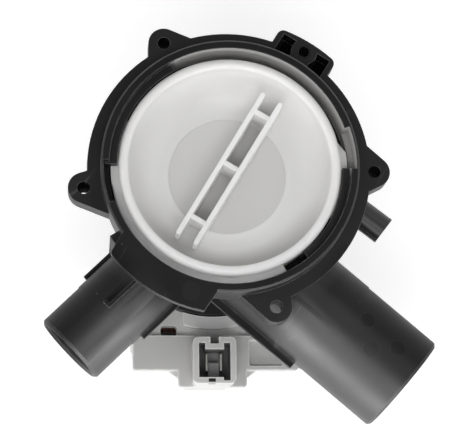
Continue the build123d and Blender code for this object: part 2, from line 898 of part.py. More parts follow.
# Impeller: disc, curved vanes and a hollow hub with a stop in it
cavity_front = impeller_front - hub_front_thickness
with BuildPart() as impeller:
    with BuildSketch(motor_plane(impeller_back)):
        Circle(impeller_radius)
    extrude(amount=impeller_disc_thickness)
    with BuildSketch(motor_plane(impeller_back)):
        Circle(hub_radius)
    extrude(amount=impeller_front - impeller_back)
    with BuildSketch(motor_plane(impeller_back)):
        with PolarLocations(0, blade_count):
            add(vane())
    extrude(amount=impeller_front - impeller_back)
    with BuildSketch(motor_plane(impeller_back)):
        Circle(hub_cavity_radius)
    extrude(amount=cavity_front - impeller_back, mode=Mode.SUBTRACT)
    with BuildSketch(motor_plane(impeller_back)):
        add(sector(
            stop_inner_radius,
            (hub_cavity_radius + hub_radius) / 2,
            -stop_sweep_angle / 2,
            stop_sweep_angle,
        ))
    extrude(amount=cavity_front - impeller_back)
    with BuildSketch(motor_plane(impeller_back)):
        Circle(shaft_radius + running_gap)
    extrude(amount=impeller_front - impeller_back + overrun, mode=Mode.SUBTRACT)
impeller.part.label = "impeller"
export_step(impeller.part, "parts/impeller.step")


# Rubber pads on both sides of the stop in the hub
with BuildPart() as impeller_damper:
    with BuildSketch(motor_plane(impeller_back)):
        for start in (stop_sweep_angle / 2, -stop_sweep_angle / 2 - pad_sweep_angle):
            add(sector(stop_inner_radius, hub_cavity_radius, start, pad_sweep_angle))
    extrude(amount=cavity_front - impeller_back)
impeller_damper.part.label = "impeller_damper"
export_step(impeller_damper.part, "parts/impeller_damper.step")


# Cover that closes the hub's cavity at the back
with BuildPart() as hub_cover:
    with BuildSketch(motor_plane(impeller_back - hub_cover_thickness)):
        Circle(hub_radius)
        Circle(shaft_radius + running_gap, mode=Mode.SUBTRACT)
    extrude(amount=hub_cover_thickness)
hub_cover.part.label = "hub_cover"
export_step(hub_cover.part, "parts/hub_cover.step")


# Drive dog on the shaft, opposite the stop
with BuildPart() as drive_dog:
    with BuildSketch(motor_plane(impeller_back + dog_gap)):
        Circle(dog_hub_radius)
        add(sector(shaft_radius, dog_radius, half_turn - dog_sweep_angle / 2, dog_sweep_angle))
        Circle(shaft_radius, mode=Mode.SUBTRACT)
    extrude(amount=cavity_front - impeller_back - 2 * dog_gap)
drive_dog.part.label = "drive_dog"
export_step(drive_dog.part, "parts/drive_dog.step")


# Rotor shaft
with BuildPart() as rotor_shaft:
    with BuildSketch(motor_plane(shaft_back)):
        Circle(shaft_radius)
    extrude(amount=shaft_front - shaft_back)
    chamfer(rotor_shaft.edges().filter_by(GeomType.CIRCLE), edge_break / 2)
rotor_shaft.part.label = "rotor_shaft"
export_step(rotor_shaft.part, "parts/rotor_shaft.step")


# Rotor magnet
with BuildPart() as rotor_magnet:
    with BuildSketch(motor_plane(magnet_back)):
        Circle(magnet_radius)
    extrude(amount=magnet_front - magnet_back)
    chamfer(rotor_magnet.edges().filter_by(GeomType.CIRCLE), magnet_edge)
    with BuildSketch(motor_plane(magnet_back)):
        Circle(shaft_radius)
    extrude(amount=magnet_front - magnet_back, mode=Mode.SUBTRACT)
rotor_magnet.part.label = "rotor_magnet"
export_step(rotor_magnet.part, "parts/rotor_magnet.step")


# Thrust washer between the magnet and the front bearing
with BuildPart() as thrust_washer:
    with BuildSketch(motor_plane(magnet_front)):
        Circle(washer_radius)
        Circle(shaft_radius, mode=Mode.SUBTRACT)
    extrude(amount=washer_front - magnet_front)
thrust_washer.part.label = "thrust_washer"
export_step(thrust_washer.part, "parts/thrust_washer.step")


# Rotor can: flange, sleeve and closed end with the rear bearing's seat
with BuildPart() as rotor_can:
    with BuildSketch(motor_section()):
        with BuildLine():
            Polyline(
                (can_bore_radius, rear_level),
                (can_flange_radius, rear_level),
                (can_flange_radius, rear_level - can_flange_thickness),
                (can_radius, rear_level - can_flange_thickness),
                (can_radius, can_end_level),
                (0, can_end_level),
                (0, can_floor),
                (bearing_radius, can_floor),
                (bearing_radius, can_floor + rear_bearing_height),
                (bearing_radius + bearing_seat_wall, can_floor + rear_bearing_height),
                (bearing_radius + bearing_seat_wall, can_floor),
                (can_bore_radius, can_floor),
                close=True,
            )
        make_face()
    revolve(axis=motor_axis)
rotor_can.part.label = "rotor_can"
export_step(rotor_can.part, "parts/rotor_can.step")


# Ring that seals the can against the housing
with BuildPart() as can_seal_ring:
    with BuildSketch(motor_plane(rear_level)):
        Circle(groove_outer_radius - running_gap)
        Circle(groove_inner_radius + running_gap, mode=Mode.SUBTRACT)
    extrude(amount=groove_depth - running_gap)
can_seal_ring.part.label = "can_seal_ring"
export_step(can_seal_ring.part, "parts/can_seal_ring.step")


# Bearing carrier that closes the can's mouth
with BuildPart() as bearing_carrier:
    with BuildSketch(motor_plane(carrier_back)):
        Circle(can_bore_radius)
        Circle(bearing_radius, mode=Mode.SUBTRACT)
    extrude(amount=carrier_front - carrier_back)
bearing_carrier.part.label = "bearing_carrier"
export_step(bearing_carrier.part, "parts/bearing_carrier.step")


# Front bearing, with the shaft seal in front of it
with BuildPart() as front_bearing:
    with BuildSketch(motor_plane(carrier_back)):
        Circle(bearing_radius)
        Circle(shaft_radius + running_gap, mode=Mode.SUBTRACT)
    extrude(amount=carrier_front - carrier_back - shaft_seal_height)
front_bearing.part.label = "front_bearing"
export_step(front_bearing.part, "parts/front_bearing.step")

with BuildPart() as shaft_seal:
    with BuildSketch(motor_plane(carrier_front - shaft_seal_height)):
        Circle(bearing_radius)
        Circle(shaft_radius + running_gap, mode=Mode.SUBTRACT)
    extrude(amount=shaft_seal_height)
shaft_seal.part.label = "shaft_seal"
export_step(shaft_seal.part, "parts/shaft_seal.step")


# Rear bearing in the can's end
with BuildPart() as rear_bearing:
    with BuildSketch(motor_plane(can_floor)):
        Circle(bearing_radius)
        Circle(shaft_radius + running_gap, mode=Mode.SUBTRACT)
    extrude(amount=rear_bearing_height)
rear_bearing.part.label = "rear_bearing"
export_step(rear_bearing.part, "parts/rear_bearing.step")


# Front frame of the motor: plate with a window, an arc-shaped lip and pads for the core
with BuildPart() as motor_front_frame:
    with BuildSketch(motor_plane(frame_back)):
        Circle(rear_flange_radius)
        add(span(-cover_half_width, frame_right, frame_bottom, 0))
        with Locations((
            (frame_window_left + frame_window_right) / 2, frame_window_top - frame_window_height / 2
        )):
            RectangleRounded(
                frame_window_right - frame_window_left, frame_window_height, frame_window_corner,
                mode=Mode.SUBTRACT,
            )
    extrude(amount=frame_thickness)
    with BuildSketch(motor_plane(rear_level)) as lip_outline:
        Circle(frame_lip_outer)
        Circle(frame_lip_inner, mode=Mode.SUBTRACT)
        add(span(-frame_lip_width / 2, frame_lip_width / 2, -frame_lip_outer, 0), mode=Mode.INTERSECT)
        fillet(lip_outline.vertices().group_by(Axis.Y)[0], frame_lip_corner)
    extrude(amount=frame_lip_height)
    with BuildSketch(motor_plane(core_front)):
        for side in (1, -1):
            with Locations((side * pad_place_x, pad_place_y)):
                Rectangle(pad_size, pad_size)
    extrude(amount=frame_back - core_front)
    with BuildSketch(motor_plane(rear_level - can_flange_thickness - running_gap)):
        Circle(can_flange_radius + frame_hole_gap)
    extrude(amount=can_flange_thickness + running_gap, mode=Mode.SUBTRACT)
    with BuildSketch(motor_plane(frame_back)):
        Circle(can_radius + frame_hole_gap)
        for angle in screw_angles:
            with Locations(at_polar(screw_ring_radius, angle)):
                Circle(screw_radius + running_gap)
    extrude(amount=frame_thickness, mode=Mode.SUBTRACT)
    with BuildSketch(motor_plane(core_front)):
        for side in (1, -1):
            with Locations((side * pad_place_x, pad_place_y)):
                Circle(core_screw_radius + running_gap)
    extrude(amount=frame_back - core_front, mode=Mode.SUBTRACT)
motor_front_frame.part.label = "motor_front_frame"
export_step(motor_front_frame.part, "parts/motor_front_frame.step")


# Screws that hold the motor to the housing
with BuildPart() as motor_screws:
    with BuildSketch(motor_plane(frame_back)):
        for angle in screw_angles:
            with Locations(at_polar(screw_ring_radius, angle)):
                Circle(screw_radius)
    extrude(amount=frame_thickness + screw_bite)
    with BuildSketch(motor_plane(frame_back - screw_head_height)):
        for angle in screw_angles:
            with Locations(at_polar(screw_ring_radius, angle)):
                Circle(screw_head_radius)
    extrude(amount=screw_head_height)
    with BuildSketch(motor_plane(frame_back - screw_head_height)):
        for angle in screw_angles:
            with Locations(at_polar(screw_ring_radius, angle)):
                add(drive_recess())
    extrude(amount=drive_slot_depth, mode=Mode.SUBTRACT)
motor_screws.part.label = "motor_screws"
export_step(motor_screws.part, "parts/motor_screws.step")


# U-shaped stator core with its pole bore
with BuildPart() as stator_core:
    with BuildSketch(motor_plane(core_back)):
        for side in (1, -1):
            inner = side * leg_inner
            add(span(min(inner, side * leg_outer), max(inner, side * leg_outer), yoke_bottom, core_top))
            add(span(min(inner, side * pole_outer), max(inner, side * pole_outer), pole_bottom, core_top))
        add(span(-leg_outer, leg_outer, yoke_bottom, yoke_top))
        Circle(pole_bore_radius, mode=Mode.SUBTRACT)
        for side in (1, -1):
            with Locations((side * pad_place_x, pad_place_y)):
                Circle(core_screw_radius + running_gap, mode=Mode.SUBTRACT)
    extrude(amount=core_depth)
stator_core.part.label = "stator_core"
export_step(stator_core.part, "parts/stator_core.step")


# Bobbins on the two legs, each with its winding
def leg_section(side, y):
    # Plane across one leg, with its x along the motor's width and its y along the motor's axis
    at = motor_plane(core_middle)
    return Plane(
        origin=at.from_local_coords((side * leg_middle, y, 0)),
        x_dir=at.x_dir,
        z_dir=at.y_dir * -1,
    )


with BuildPart() as left_bobbin:
    with BuildSketch(leg_section(-1, bobbin_top)):
        Rectangle(tube_width, tube_depth)
    extrude(amount=bobbin_top - bobbin_bottom)
    for y in (bobbin_top, bobbin_bottom + bobbin_flange):
        with BuildSketch(leg_section(-1, y)):
            RectangleRounded(
                tube_width + 2 * (winding_depth - flange_margin),
                tube_depth + 2 * (winding_depth + flange_margin),
                winding_corner,
            )
        extrude(amount=bobbin_flange)
    with BuildSketch(leg_section(-1, bobbin_top)):
        Rectangle(tube_width - 2 * bobbin_wall, tube_depth - 2 * bobbin_wall)
    extrude(amount=bobbin_top - bobbin_bottom, mode=Mode.SUBTRACT)
left_bobbin.part.label = "left_bobbin"
export_step(left_bobbin.part, "parts/left_bobbin.step")

with BuildPart() as right_bobbin:
    with BuildSketch(leg_section(1, bobbin_top)):
        Rectangle(tube_width, tube_depth)
    extrude(amount=bobbin_top - bobbin_bottom)
    for y in (bobbin_top, bobbin_bottom + bobbin_flange):
        with BuildSketch(leg_section(1, y)):
            RectangleRounded(
                tube_width + 2 * (winding_depth - flange_margin),
                tube_depth + 2 * (winding_depth + flange_margin),
                winding_corner,
            )
        extrude(amount=bobbin_flange)
    with BuildSketch(leg_section(1, bobbin_top)):
        Rectangle(tube_width - 2 * bobbin_wall, tube_depth - 2 * bobbin_wall)
    extrude(amount=bobbin_top - bobbin_bottom, mode=Mode.SUBTRACT)
right_bobbin.part.label = "right_bobbin"
export_step(right_bobbin.part, "parts/right_bobbin.step")

with BuildPart() as left_winding:
    with BuildSketch(leg_section(-1, bobbin_top - bobbin_flange)):
        RectangleRounded(tube_width + 2 * winding_depth, tube_depth + 2 * winding_depth, winding_corner)
        Rectangle(tube_width, tube_depth, mode=Mode.SUBTRACT)
    extrude(amount=bobbin_top - bobbin_bottom - 2 * bobbin_flange)
left_winding.part.label = "left_winding"
export_step(left_winding.part, "parts/left_winding.step")

with BuildPart() as right_winding:
    with BuildSketch(leg_section(1, bobbin_top - bobbin_flange)):
        RectangleRounded(tube_width + 2 * winding_depth, tube_depth + 2 * winding_depth, winding_corner)
        Rectangle(tube_width, tube_depth, mode=Mode.SUBTRACT)
    extrude(amount=bobbin_top - bobbin_bottom - 2 * bobbin_flange)
right_winding.part.label = "right_winding"
export_step(right_winding.part, "parts/right_winding.step")


# Coil cover: tray round the backs of the coils, wings and box in front of the core
with BuildPart() as coil_cover:
    with BuildSketch(motor_plane(cover_back)):
        add(span(-cover_half_width, cover_half_width, frame_bottom, cover_top))
    extrude(amount=frame_back - cover_back)
    with BuildSketch(motor_plane(cover_back + cover_wall)):
        add(span(
            -cover_half_width + cover_wall, cover_half_width - cover_wall,
            frame_bottom - overrun, cover_top + overrun,
        ))
    extrude(amount=frame_back - cover_back, mode=Mode.SUBTRACT)
    with BuildSketch(motor_plane(frame_back)):
        add(span(-cover_half_width, cover_half_width, wing_bottom + wing_corner, frame_bottom))
    extrude(amount=wing_front - wing_depth - frame_back)
    with BuildSketch(motor_plane(core_middle)):
        for side in (1, -1):
            with Locations((side * (cover_half_width - cover_wall / 2), frame_bottom - wall_tail / 2)):
                Rectangle(cover_wall, wall_tail)
    extrude(amount=wing_front - wing_depth - core_middle)
    with BuildSketch(motor_plane(wing_front - wing_depth)) as wing_outline:
        add(span(-cover_half_width, wing_right, wing_bottom, frame_bottom))
        fillet(wing_outline.vertices().group_by(Axis.Y)[0], wing_corner)
    extrude(amount=wing_depth)
    with BuildSketch(motor_plane(wing_front - box_depth)) as box_outline:
        add(span(-box_half_width, box_half_width, box_bottom, frame_bottom))
        fillet(box_outline.vertices().group_by(Axis.Y)[0], wing_corner)
    extrude(amount=box_depth)
    with BuildSketch(motor_plane(wing_front - foot_depth)):
        add(span(foot_left, foot_right, box_bottom, wing_bottom + wing_corner))
    extrude(amount=foot_depth)
    with BuildSketch(motor_plane(wing_front - wing_depth)):
        for side in (1, -1):
            with BuildLine():
                Polyline(
                    (side * (box_half_width - gusset_thickness), wing_bottom + wing_corner),
                    (side * (box_half_width + gusset_reach), wing_bottom + wing_corner),
                    (side * box_half_width, wing_bottom - gusset_reach / 2),
                    (side * (box_half_width - gusset_thickness), wing_bottom - gusset_reach / 2),
                    close=True,
                )
            make_face()
    extrude(amount=gusset_thickness)
    with BuildSketch(motor_plane(wing_front - panel_depth)) as panel:
        add(span(panel_left, panel_right, panel_bottom, panel_top))
        fillet(panel.vertices(), panel_corner)
    extrude(amount=panel_depth, mode=Mode.SUBTRACT)

    # Vents in the tray's back
    with BuildSketch(motor_plane(cover_back)):
        with Locations((0, (vent_bottom + vent_top) / 2)):
            with GridLocations(vent_pitch, 0, vent_count, 1):
                SlotOverall(vent_top - vent_bottom, vent_width, rotation=right_angle)
    extrude(amount=cover_wall, mode=Mode.SUBTRACT)
coil_cover.part.label = "coil_cover"
export_step(coil_cover.part, "parts/coil_cover.step")


# Connector housing: shell round the terminals, with key, notch, slot and latch window
with BuildPart() as connector_housing:
    with BuildSketch(motor_plane(wing_front)) as shell_outline:
        add(span(-shell_half_width, shell_half_width, box_bottom, shell_top))
        fillet(shell_outline.vertices(), shell_corner)
    extrude(amount=shell_front - wing_front)
    with BuildSketch(motor_plane(wing_front)):
        add(span(
            -shell_half_width + shell_wall, shell_half_width - shell_wall,
            box_bottom + shell_wall, shell_top - shell_wall,
        ))
        with Locations((shell_half_width - shell_wall - slot_width / 2, box_bottom + shell_wall)):
            Rectangle(slot_width, 2 * slot_depth)
    extrude(amount=shell_front - wing_front + overrun, mode=Mode.SUBTRACT)
    with BuildSketch(motor_plane(wing_front)):
        add(span(-key_width / 2, key_width / 2, shell_top - shell_wall - key_depth, shell_top - edge_break))
        add(span(-block_width / 2, block_width / 2, tab_centre - block_height / 2, tab_centre))
    extrude(amount=shell_front - wing_front - block_recess)
    with BuildSketch(motor_plane(wing_front)):
        add(span(-key_width / 2, key_width / 2, shell_top - shell_wall - key_depth, shell_top - edge_break))
    extrude(amount=shell_front - wing_front)
    with BuildSketch(motor_plane(wing_front)):
        add(span(-notch_width / 2, notch_width / 2, shell_top - notch_depth, shell_top + overrun))
    extrude(amount=shell_front - wing_front + overrun, mode=Mode.SUBTRACT)
    with BuildSketch(motor_plane(shell_front - latch_height)):
        add(span(latch_left, latch_left + latch_width, box_bottom - overrun, box_bottom + shell_wall))
    extrude(amount=latch_height - edge_break, mode=Mode.SUBTRACT)
    with BuildSketch(motor_plane(wing_front)):
        add(span(
            -shell_half_width + shell_wall, shell_half_width - shell_wall,
            box_bottom + shell_wall, shell_top - shell_wall,
        ))
    extrude(amount=edge_break)
connector_housing.part.label = "connector_housing"
export_step(connector_housing.part, "parts/connector_housing.step")


# Two flat terminal tabs
tab_foot = wing_front + edge_break
tab_tip = shell_front - tab_recess
across = motor_plane(tab_tip - tab_hole_drop)
tab_hole_centre = across.from_local_coords((0, tab_centre, 0))
with BuildPart() as terminal_tabs:
    with BuildSketch(motor_plane(tab_foot)):
        for side in (1, -1):
            with Locations((side * tab_pitch / 2, tab_centre)):
                Rectangle(tab_thickness, tab_width)
    extrude(amount=tab_tip - tab_foot)
    chamfer(terminal_tabs.edges().group_by(Axis.Z)[-1], tab_tip_break)
    with BuildSketch(Plane(origin=tab_hole_centre, x_dir=(0, 0, 1), z_dir=across.x_dir)):
        Circle(tab_hole_radius)
    extrude(amount=tab_pitch, both=True, mode=Mode.SUBTRACT)
terminal_tabs.part.label = "terminal_tabs"
export_step(terminal_tabs.part, "parts/terminal_tabs.step")


# Rear clamp: plate on the core's back with a ring round the can's end
with BuildPart() as motor_rear_clamp:
    with BuildSketch(motor_plane(core_back - clamp_thickness)) as clamp_outline:
        add(span(-pole_outer, pole_outer, clamp_bottom, core_top))
        fillet(clamp_outline.vertices(), clamp_corner)
    extrude(amount=clamp_thickness)
    with BuildSketch(motor_plane(cover_back)):
        Circle(can_radius + frame_hole_gap + clamp_ring_wall)
        add(span(-pole_outer, pole_outer, clamp_bottom, core_top), mode=Mode.INTERSECT)
    extrude(amount=core_back - clamp_thickness - cover_back)
    with BuildSketch(motor_plane(core_back - clamp_thickness - clamp_rib_height)):
        add(span(
            clamp_corner - pole_outer, pole_outer - clamp_corner,
            -clamp_rib_thickness / 2, clamp_rib_thickness / 2,
        ))
    extrude(amount=clamp_rib_height)
    with BuildSketch(motor_plane(cover_back)):
        Circle(can_radius + frame_hole_gap)
        for side in (1, -1):
            with Locations((side * pad_place_x, pad_place_y)):
                Circle(core_screw_radius + running_gap)
    extrude(amount=core_back - cover_back, mode=Mode.SUBTRACT)
motor_rear_clamp.part.label = "motor_rear_clamp"
export_step(motor_rear_clamp.part, "parts/motor_rear_clamp.step")


# Screws that hold clamp and core to the front frame
with BuildPart() as core_screws:
    with BuildSketch(motor_plane(core_back - clamp_thickness)):
        for side in (1, -1):
            with Locations((side * pad_place_x, pad_place_y)):
                Circle(core_screw_radius)
    extrude(amount=clamp_thickness + core_depth + frame_back - core_front - edge_break)
    with BuildSketch(motor_plane(core_back - clamp_thickness - core_screw_head_height)):
        for side in (1, -1):
            with Locations((side * pad_place_x, pad_place_y)):
                Circle(core_screw_head)
    extrude(amount=core_screw_head_height)
    with BuildSketch(motor_plane(core_back - clamp_thickness - core_screw_head_height)):
        for side in (1, -1):
            with Locations((side * pad_place_x, pad_place_y)):
                add(drive_recess())
    extrude(amount=drive_slot_depth, mode=Mode.SUBTRACT)
core_screws.part.label = "core_screws"
export_step(core_screws.part, "parts/core_screws.step")
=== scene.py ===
from math import cos, radians, sin, tau

import bpy
from mathutils import Matrix, Vector


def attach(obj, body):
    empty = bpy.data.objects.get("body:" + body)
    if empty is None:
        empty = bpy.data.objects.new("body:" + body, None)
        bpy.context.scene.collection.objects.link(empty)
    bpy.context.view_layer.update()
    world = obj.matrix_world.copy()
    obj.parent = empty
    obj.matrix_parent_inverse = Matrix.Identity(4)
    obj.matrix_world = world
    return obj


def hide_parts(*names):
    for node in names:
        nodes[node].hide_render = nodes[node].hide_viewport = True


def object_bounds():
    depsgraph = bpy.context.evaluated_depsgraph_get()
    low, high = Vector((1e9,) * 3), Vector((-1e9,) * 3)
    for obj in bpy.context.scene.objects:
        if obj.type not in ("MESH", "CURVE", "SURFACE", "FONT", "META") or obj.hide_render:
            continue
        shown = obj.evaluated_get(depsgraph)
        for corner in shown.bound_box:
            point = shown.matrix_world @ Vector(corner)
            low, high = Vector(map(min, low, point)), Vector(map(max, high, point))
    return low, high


# Washer drain pump with its filter cap towards the camera. Lengths are metres in the pump's own frame:
# +Z comes out of the filter and +Y points to the clip block.
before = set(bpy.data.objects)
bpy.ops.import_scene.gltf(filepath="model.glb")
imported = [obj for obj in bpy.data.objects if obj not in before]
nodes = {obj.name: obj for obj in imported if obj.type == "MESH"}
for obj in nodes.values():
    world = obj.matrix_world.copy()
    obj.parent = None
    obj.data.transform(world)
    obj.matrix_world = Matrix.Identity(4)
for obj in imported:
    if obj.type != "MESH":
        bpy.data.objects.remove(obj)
cad_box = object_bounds()
MM = 0.001

# The photograph's camera, from its five flange holes and round rims
CAMERA_PLACE = Vector((38.65, -152.9, 571.7)) * MM
CAMERA_RIGHT = Vector((0.8505, 0.5202, 0.0779))
CAMERA_BACK = Vector((0.0503, -0.2279, 0.9724))
CAMERA_LENS = 137.1
SENSOR_WIDTH = 36
CLIP_START = 0.01
CLIP_END = 20

# The motor's axis, and its turn on the housing
MOTOR_CENTRE = Vector((1.4228, -6.7517, 0)) * MM
MOTOR_TURN = 32.05


def picture_axes():
    toward = CAMERA_BACK.normalized()
    up = toward.cross(CAMERA_RIGHT).normalized()
    return up.cross(toward), up, toward


def place_camera():
    right, up, toward = picture_axes()
    data = bpy.data.cameras.new("photo_camera")
    data.sensor_width = SENSOR_WIDTH
    data.lens = CAMERA_LENS
    data.clip_start = CLIP_START
    data.clip_end = CLIP_END
    camera = bpy.data.objects.new("photo_camera", data)
    bpy.context.scene.collection.objects.link(camera)
    turn = Matrix((right, up, toward)).transposed().to_4x4()
    camera.matrix_world = Matrix.Translation(CAMERA_PLACE) @ turn
    bpy.context.scene.camera = camera


def motor_point(x, y, z):
    turned = Matrix.Rotation(radians(MOTOR_TURN), 3, "Z") @ Vector((x, y, z))
    return turned + MOTOR_CENTRE


# Shader helpers
def new_material(name):
    material = bpy.data.materials.new(name)
    material.use_nodes = True
    tree = material.node_tree
    tree.nodes.clear()
    output = tree.nodes.new("ShaderNodeOutputMaterial")
    shader = tree.nodes.new("ShaderNodeBsdfPrincipled")
    tree.links.new(shader.outputs["BSDF"], output.inputs["Surface"])
    return material, tree, shader


def new_group(name, inputs, outputs):
    group = bpy.data.node_groups.new(name, "ShaderNodeTree")
    for label, kind, value in inputs:
        socket = group.interface.new_socket(label, in_out="INPUT", socket_type=kind)
        socket.default_value = value
    for label, kind in outputs:
        group.interface.new_socket(label, in_out="OUTPUT", socket_type=kind)
    start = group.nodes.new("NodeGroupInput")
    end = group.nodes.new("NodeGroupOutput")
    return group, start, end


def use_group(tree, group, **values):
    node = tree.nodes.new("ShaderNodeGroup")
    node.node_tree = group
    for label, value in values.items():
        node.inputs[label].default_value = value
    return node


def feed(tree, socket, value):
    # Sets a plain value, or links another node's output
    if isinstance(value, (int, float, tuple)):
        socket.default_value = value
    else:
        tree.links.new(value, socket)


def opaque(colour, share=1.0):
    return tuple(c * share for c in colour) + (1.0,)


def grey(tone):
    return (tone, tone, tone, 1.0)


def object_place(tree):
    return tree.nodes.new("ShaderNodeTexCoord").outputs["Object"]


def vector_node(tree, operation, first, second=None):
    node = tree.nodes.new("ShaderNodeVectorMath")
    node.operation = operation
    tree.links.new(first, node.inputs[0])
    if second is not None:
        node.inputs[1].default_value = second
    return node


def math_node(tree, operation, first, second=None, clamp=False):
    node = tree.nodes.new("ShaderNodeMath")
    node.operation = operation
    node.use_clamp = clamp
    for socket, value in zip(node.inputs, (first, second)):
        if value is not None:
            feed(tree, socket, value)
    return node.outputs[0]


def times(tree, first, second):
    return math_node(tree, "MULTIPLY", first, second)


def plus(tree, first, second):
    return math_node(tree, "ADD", first, second)


def between(tree, value, low, high):
    # Mask of the values that lie between two limits
    above = math_node(tree, "GREATER_THAN", value, low)
    return times(tree, above, math_node(tree, "LESS_THAN", value, high))


def noise(tree, place, scale, detail):
    node = tree.nodes.new("ShaderNodeTexNoise")
    node.inputs["Scale"].default_value = scale
    node.inputs["Detail"].default_value = detail
    tree.links.new(place, node.inputs["Vector"])
    return node.outputs["Fac"]


def ramp(tree, value, low, high, from_value=0.0, to_value=1.0):
    node = tree.nodes.new("ShaderNodeMapRange")
    node.inputs["From Min"].default_value = low
    node.inputs["From Max"].default_value = high
    node.inputs["To Min"].default_value = from_value
    node.inputs["To Max"].default_value = to_value
    tree.links.new(value, node.inputs["Value"])
    return node.outputs["Result"]


def mix_colour(tree, share, first, second):
    node = tree.nodes.new("ShaderNodeMix")
    node.data_type = "RGBA"
    feed(tree, node.inputs["Factor"], share)
    for label, value in (("A", first), ("B", second)):
        socket = [s for s in node.inputs if s.name == label and s.type == "RGBA"][0]
        feed(tree, socket, value)
    return [s for s in node.outputs if s.type == "RGBA"][0]


def add_bump(tree, shader, height, strength, distance):
    bump = tree.nodes.new("ShaderNodeBump")
    bump.inputs["Strength"].default_value = strength
    bump.inputs["Distance"].default_value = distance
    tree.links.new(height, bump.inputs["Height"])
    tree.links.new(bump.outputs["Normal"], shader.inputs["Normal"])


def build_grain():
    # Moulded grain: a fine height and a slow change of tone
    group, start, end = new_group(
        "moulded_grain",
        [("Grain Scale", "NodeSocketFloat", 2500.0), ("Tone Scale", "NodeSocketFloat", 40.0)],
        [("Height", "NodeSocketFloat"), ("Tone", "NodeSocketFloat")],
    )
    place = object_place(group)
    fine = group.nodes.new("ShaderNodeTexNoise")
    fine.inputs["Detail"].default_value = 3.0
    group.links.new(place, fine.inputs["Vector"])
    group.links.new(start.outputs["Grain Scale"], fine.inputs["Scale"])
    slow = group.nodes.new("ShaderNodeTexNoise")
    slow.inputs["Detail"].default_value = 4.0
    group.links.new(place, slow.inputs["Vector"])
    group.links.new(start.outputs["Tone Scale"], slow.inputs["Scale"])
    group.links.new(fine.outputs["Fac"], end.inputs["Height"])
    group.links.new(ramp(group, slow.outputs["Fac"], 0.35, 0.65), end.inputs["Tone"])
    return group


def build_wear_and_edge_highlight():
    # Mask that is high on outer edges, broken up by noise: edge wear together with a painted highlight
    # along the edges
    group, start, end = new_group(
        "wear_and_edge_highlight",
        [("Radius", "NodeSocketFloat", 0.0005), ("Sharpness", "NodeSocketFloat", 6.0)],
        [("Edge", "NodeSocketFloat")],
    )
    bevel = group.nodes.new("ShaderNodeBevel")
    bevel.samples = 4
    group.links.new(start.outputs["Radius"], bevel.inputs["Radius"])
    surface = group.nodes.new("ShaderNodeNewGeometry")
    dot = group.nodes.new("ShaderNodeVectorMath")
    dot.operation = "DOT_PRODUCT"
    group.links.new(bevel.outputs["Normal"], dot.inputs[0])
    group.links.new(surface.outputs["Normal"], dot.inputs[1])
    away = math_node(group, "SUBTRACT", 1.0, dot.outputs["Value"])
    strong = math_node(group, "MULTIPLY", away, start.outputs["Sharpness"], clamp=True)
    place = object_place(group)
    broken = ramp(group, noise(group, place, 300.0, 2.0), 0.35, 0.6, 0.4, 1.0)
    group.links.new(times(group, strong, broken), end.inputs["Edge"])
    return group


def build_dust():
    # Small pale specks, few and uneven
    group, start, end = new_group(
        "dust_specks",
        [("Speck Scale", "NodeSocketFloat", 900.0), ("Amount", "NodeSocketFloat", 0.25)],
        [("Specks", "NodeSocketFloat")],
    )
    place = object_place(group)
    cells = group.nodes.new("ShaderNodeTexVoronoi")
    group.links.new(place, cells.inputs["Vector"])
    group.links.new(start.outputs["Speck Scale"], cells.inputs["Scale"])
    dot = ramp(group, cells.outputs["Distance"], 0.10, 0.04)
    chance = group.nodes.new("ShaderNodeSeparateColor")
    group.links.new(cells.outputs["Color"], chance.inputs["Color"])
    kept = math_node(group, "LESS_THAN", chance.outputs["Red"], start.outputs["Amount"])
    group.links.new(times(group, dot, kept), end.inputs["Specks"])
    return group


def build_scratches():
    # Hairline scratches: thin bent lines, kept only here and there
    group, start, end = new_group(
        "hairline_scratches",
        [("Line Scale", "NodeSocketFloat", 45.0), ("Line Width", "NodeSocketFloat", 0.005)],
        [("Lines", "NodeSocketFloat")],
    )
    place = object_place(group)
    stretch = group.nodes.new("ShaderNodeMapping")
    stretch.inputs["Rotation"].default_value = (0.3, 0.2, 0.9)
    stretch.inputs["Scale"].default_value = (1.0, 0.15, 0.4)
    group.links.new(place, stretch.inputs["Vector"])
    field = group.nodes.new("ShaderNodeTexNoise")
    field.inputs["Detail"].default_value = 1.0
    group.links.new(stretch.outputs["Vector"], field.inputs["Vector"])
    group.links.new(start.outputs["Line Scale"], field.inputs["Scale"])
    away = math_node(group, "ABSOLUTE", math_node(group, "SUBTRACT", field.outputs["Fac"], 0.5))
    share = math_node(group, "DIVIDE", away, start.outputs["Line Width"])
    thin = math_node(group, "SUBTRACT", 1.0, share, clamp=True)
    kept = ramp(group, noise(group, place, 70.0, 2.0), 0.56, 0.64)
    group.links.new(times(group, thin, kept), end.inputs["Lines"])
    return group


grain_group = build_grain()
wear_and_highlight_group = build_wear_and_edge_highlight()
dust_group = build_dust()
scratch_group = build_scratches()


# Masks over an object
def flat_way(angle):
    return Vector((cos(radians(angle)), sin(radians(angle)), 0))


def place_along(tree, way):
    # Distance along a direction from the origin
    return vector_node(tree, "DOT_PRODUCT", object_place(tree), way).outputs["Value"]


def nearest_point(tree, centres, flat=False):
    # Distance to the nearest of the points, or of the upright axes through them
    place = object_place(tree)
    if flat:
        place = vector_node(tree, "MULTIPLY", place, (1, 1, 0)).outputs["Vector"]
    nearest = 1.0
    for centre in centres:
        away = vector_node(tree, "DISTANCE", place, centre).outputs["Value"]
        nearest = math_node(tree, "MINIMUM", away, nearest)
    return nearest


def axis_distance(tree):
    # Distance to the pump's own axis
    return nearest_point(tree, [Vector((0, 0, 0))], flat=True)


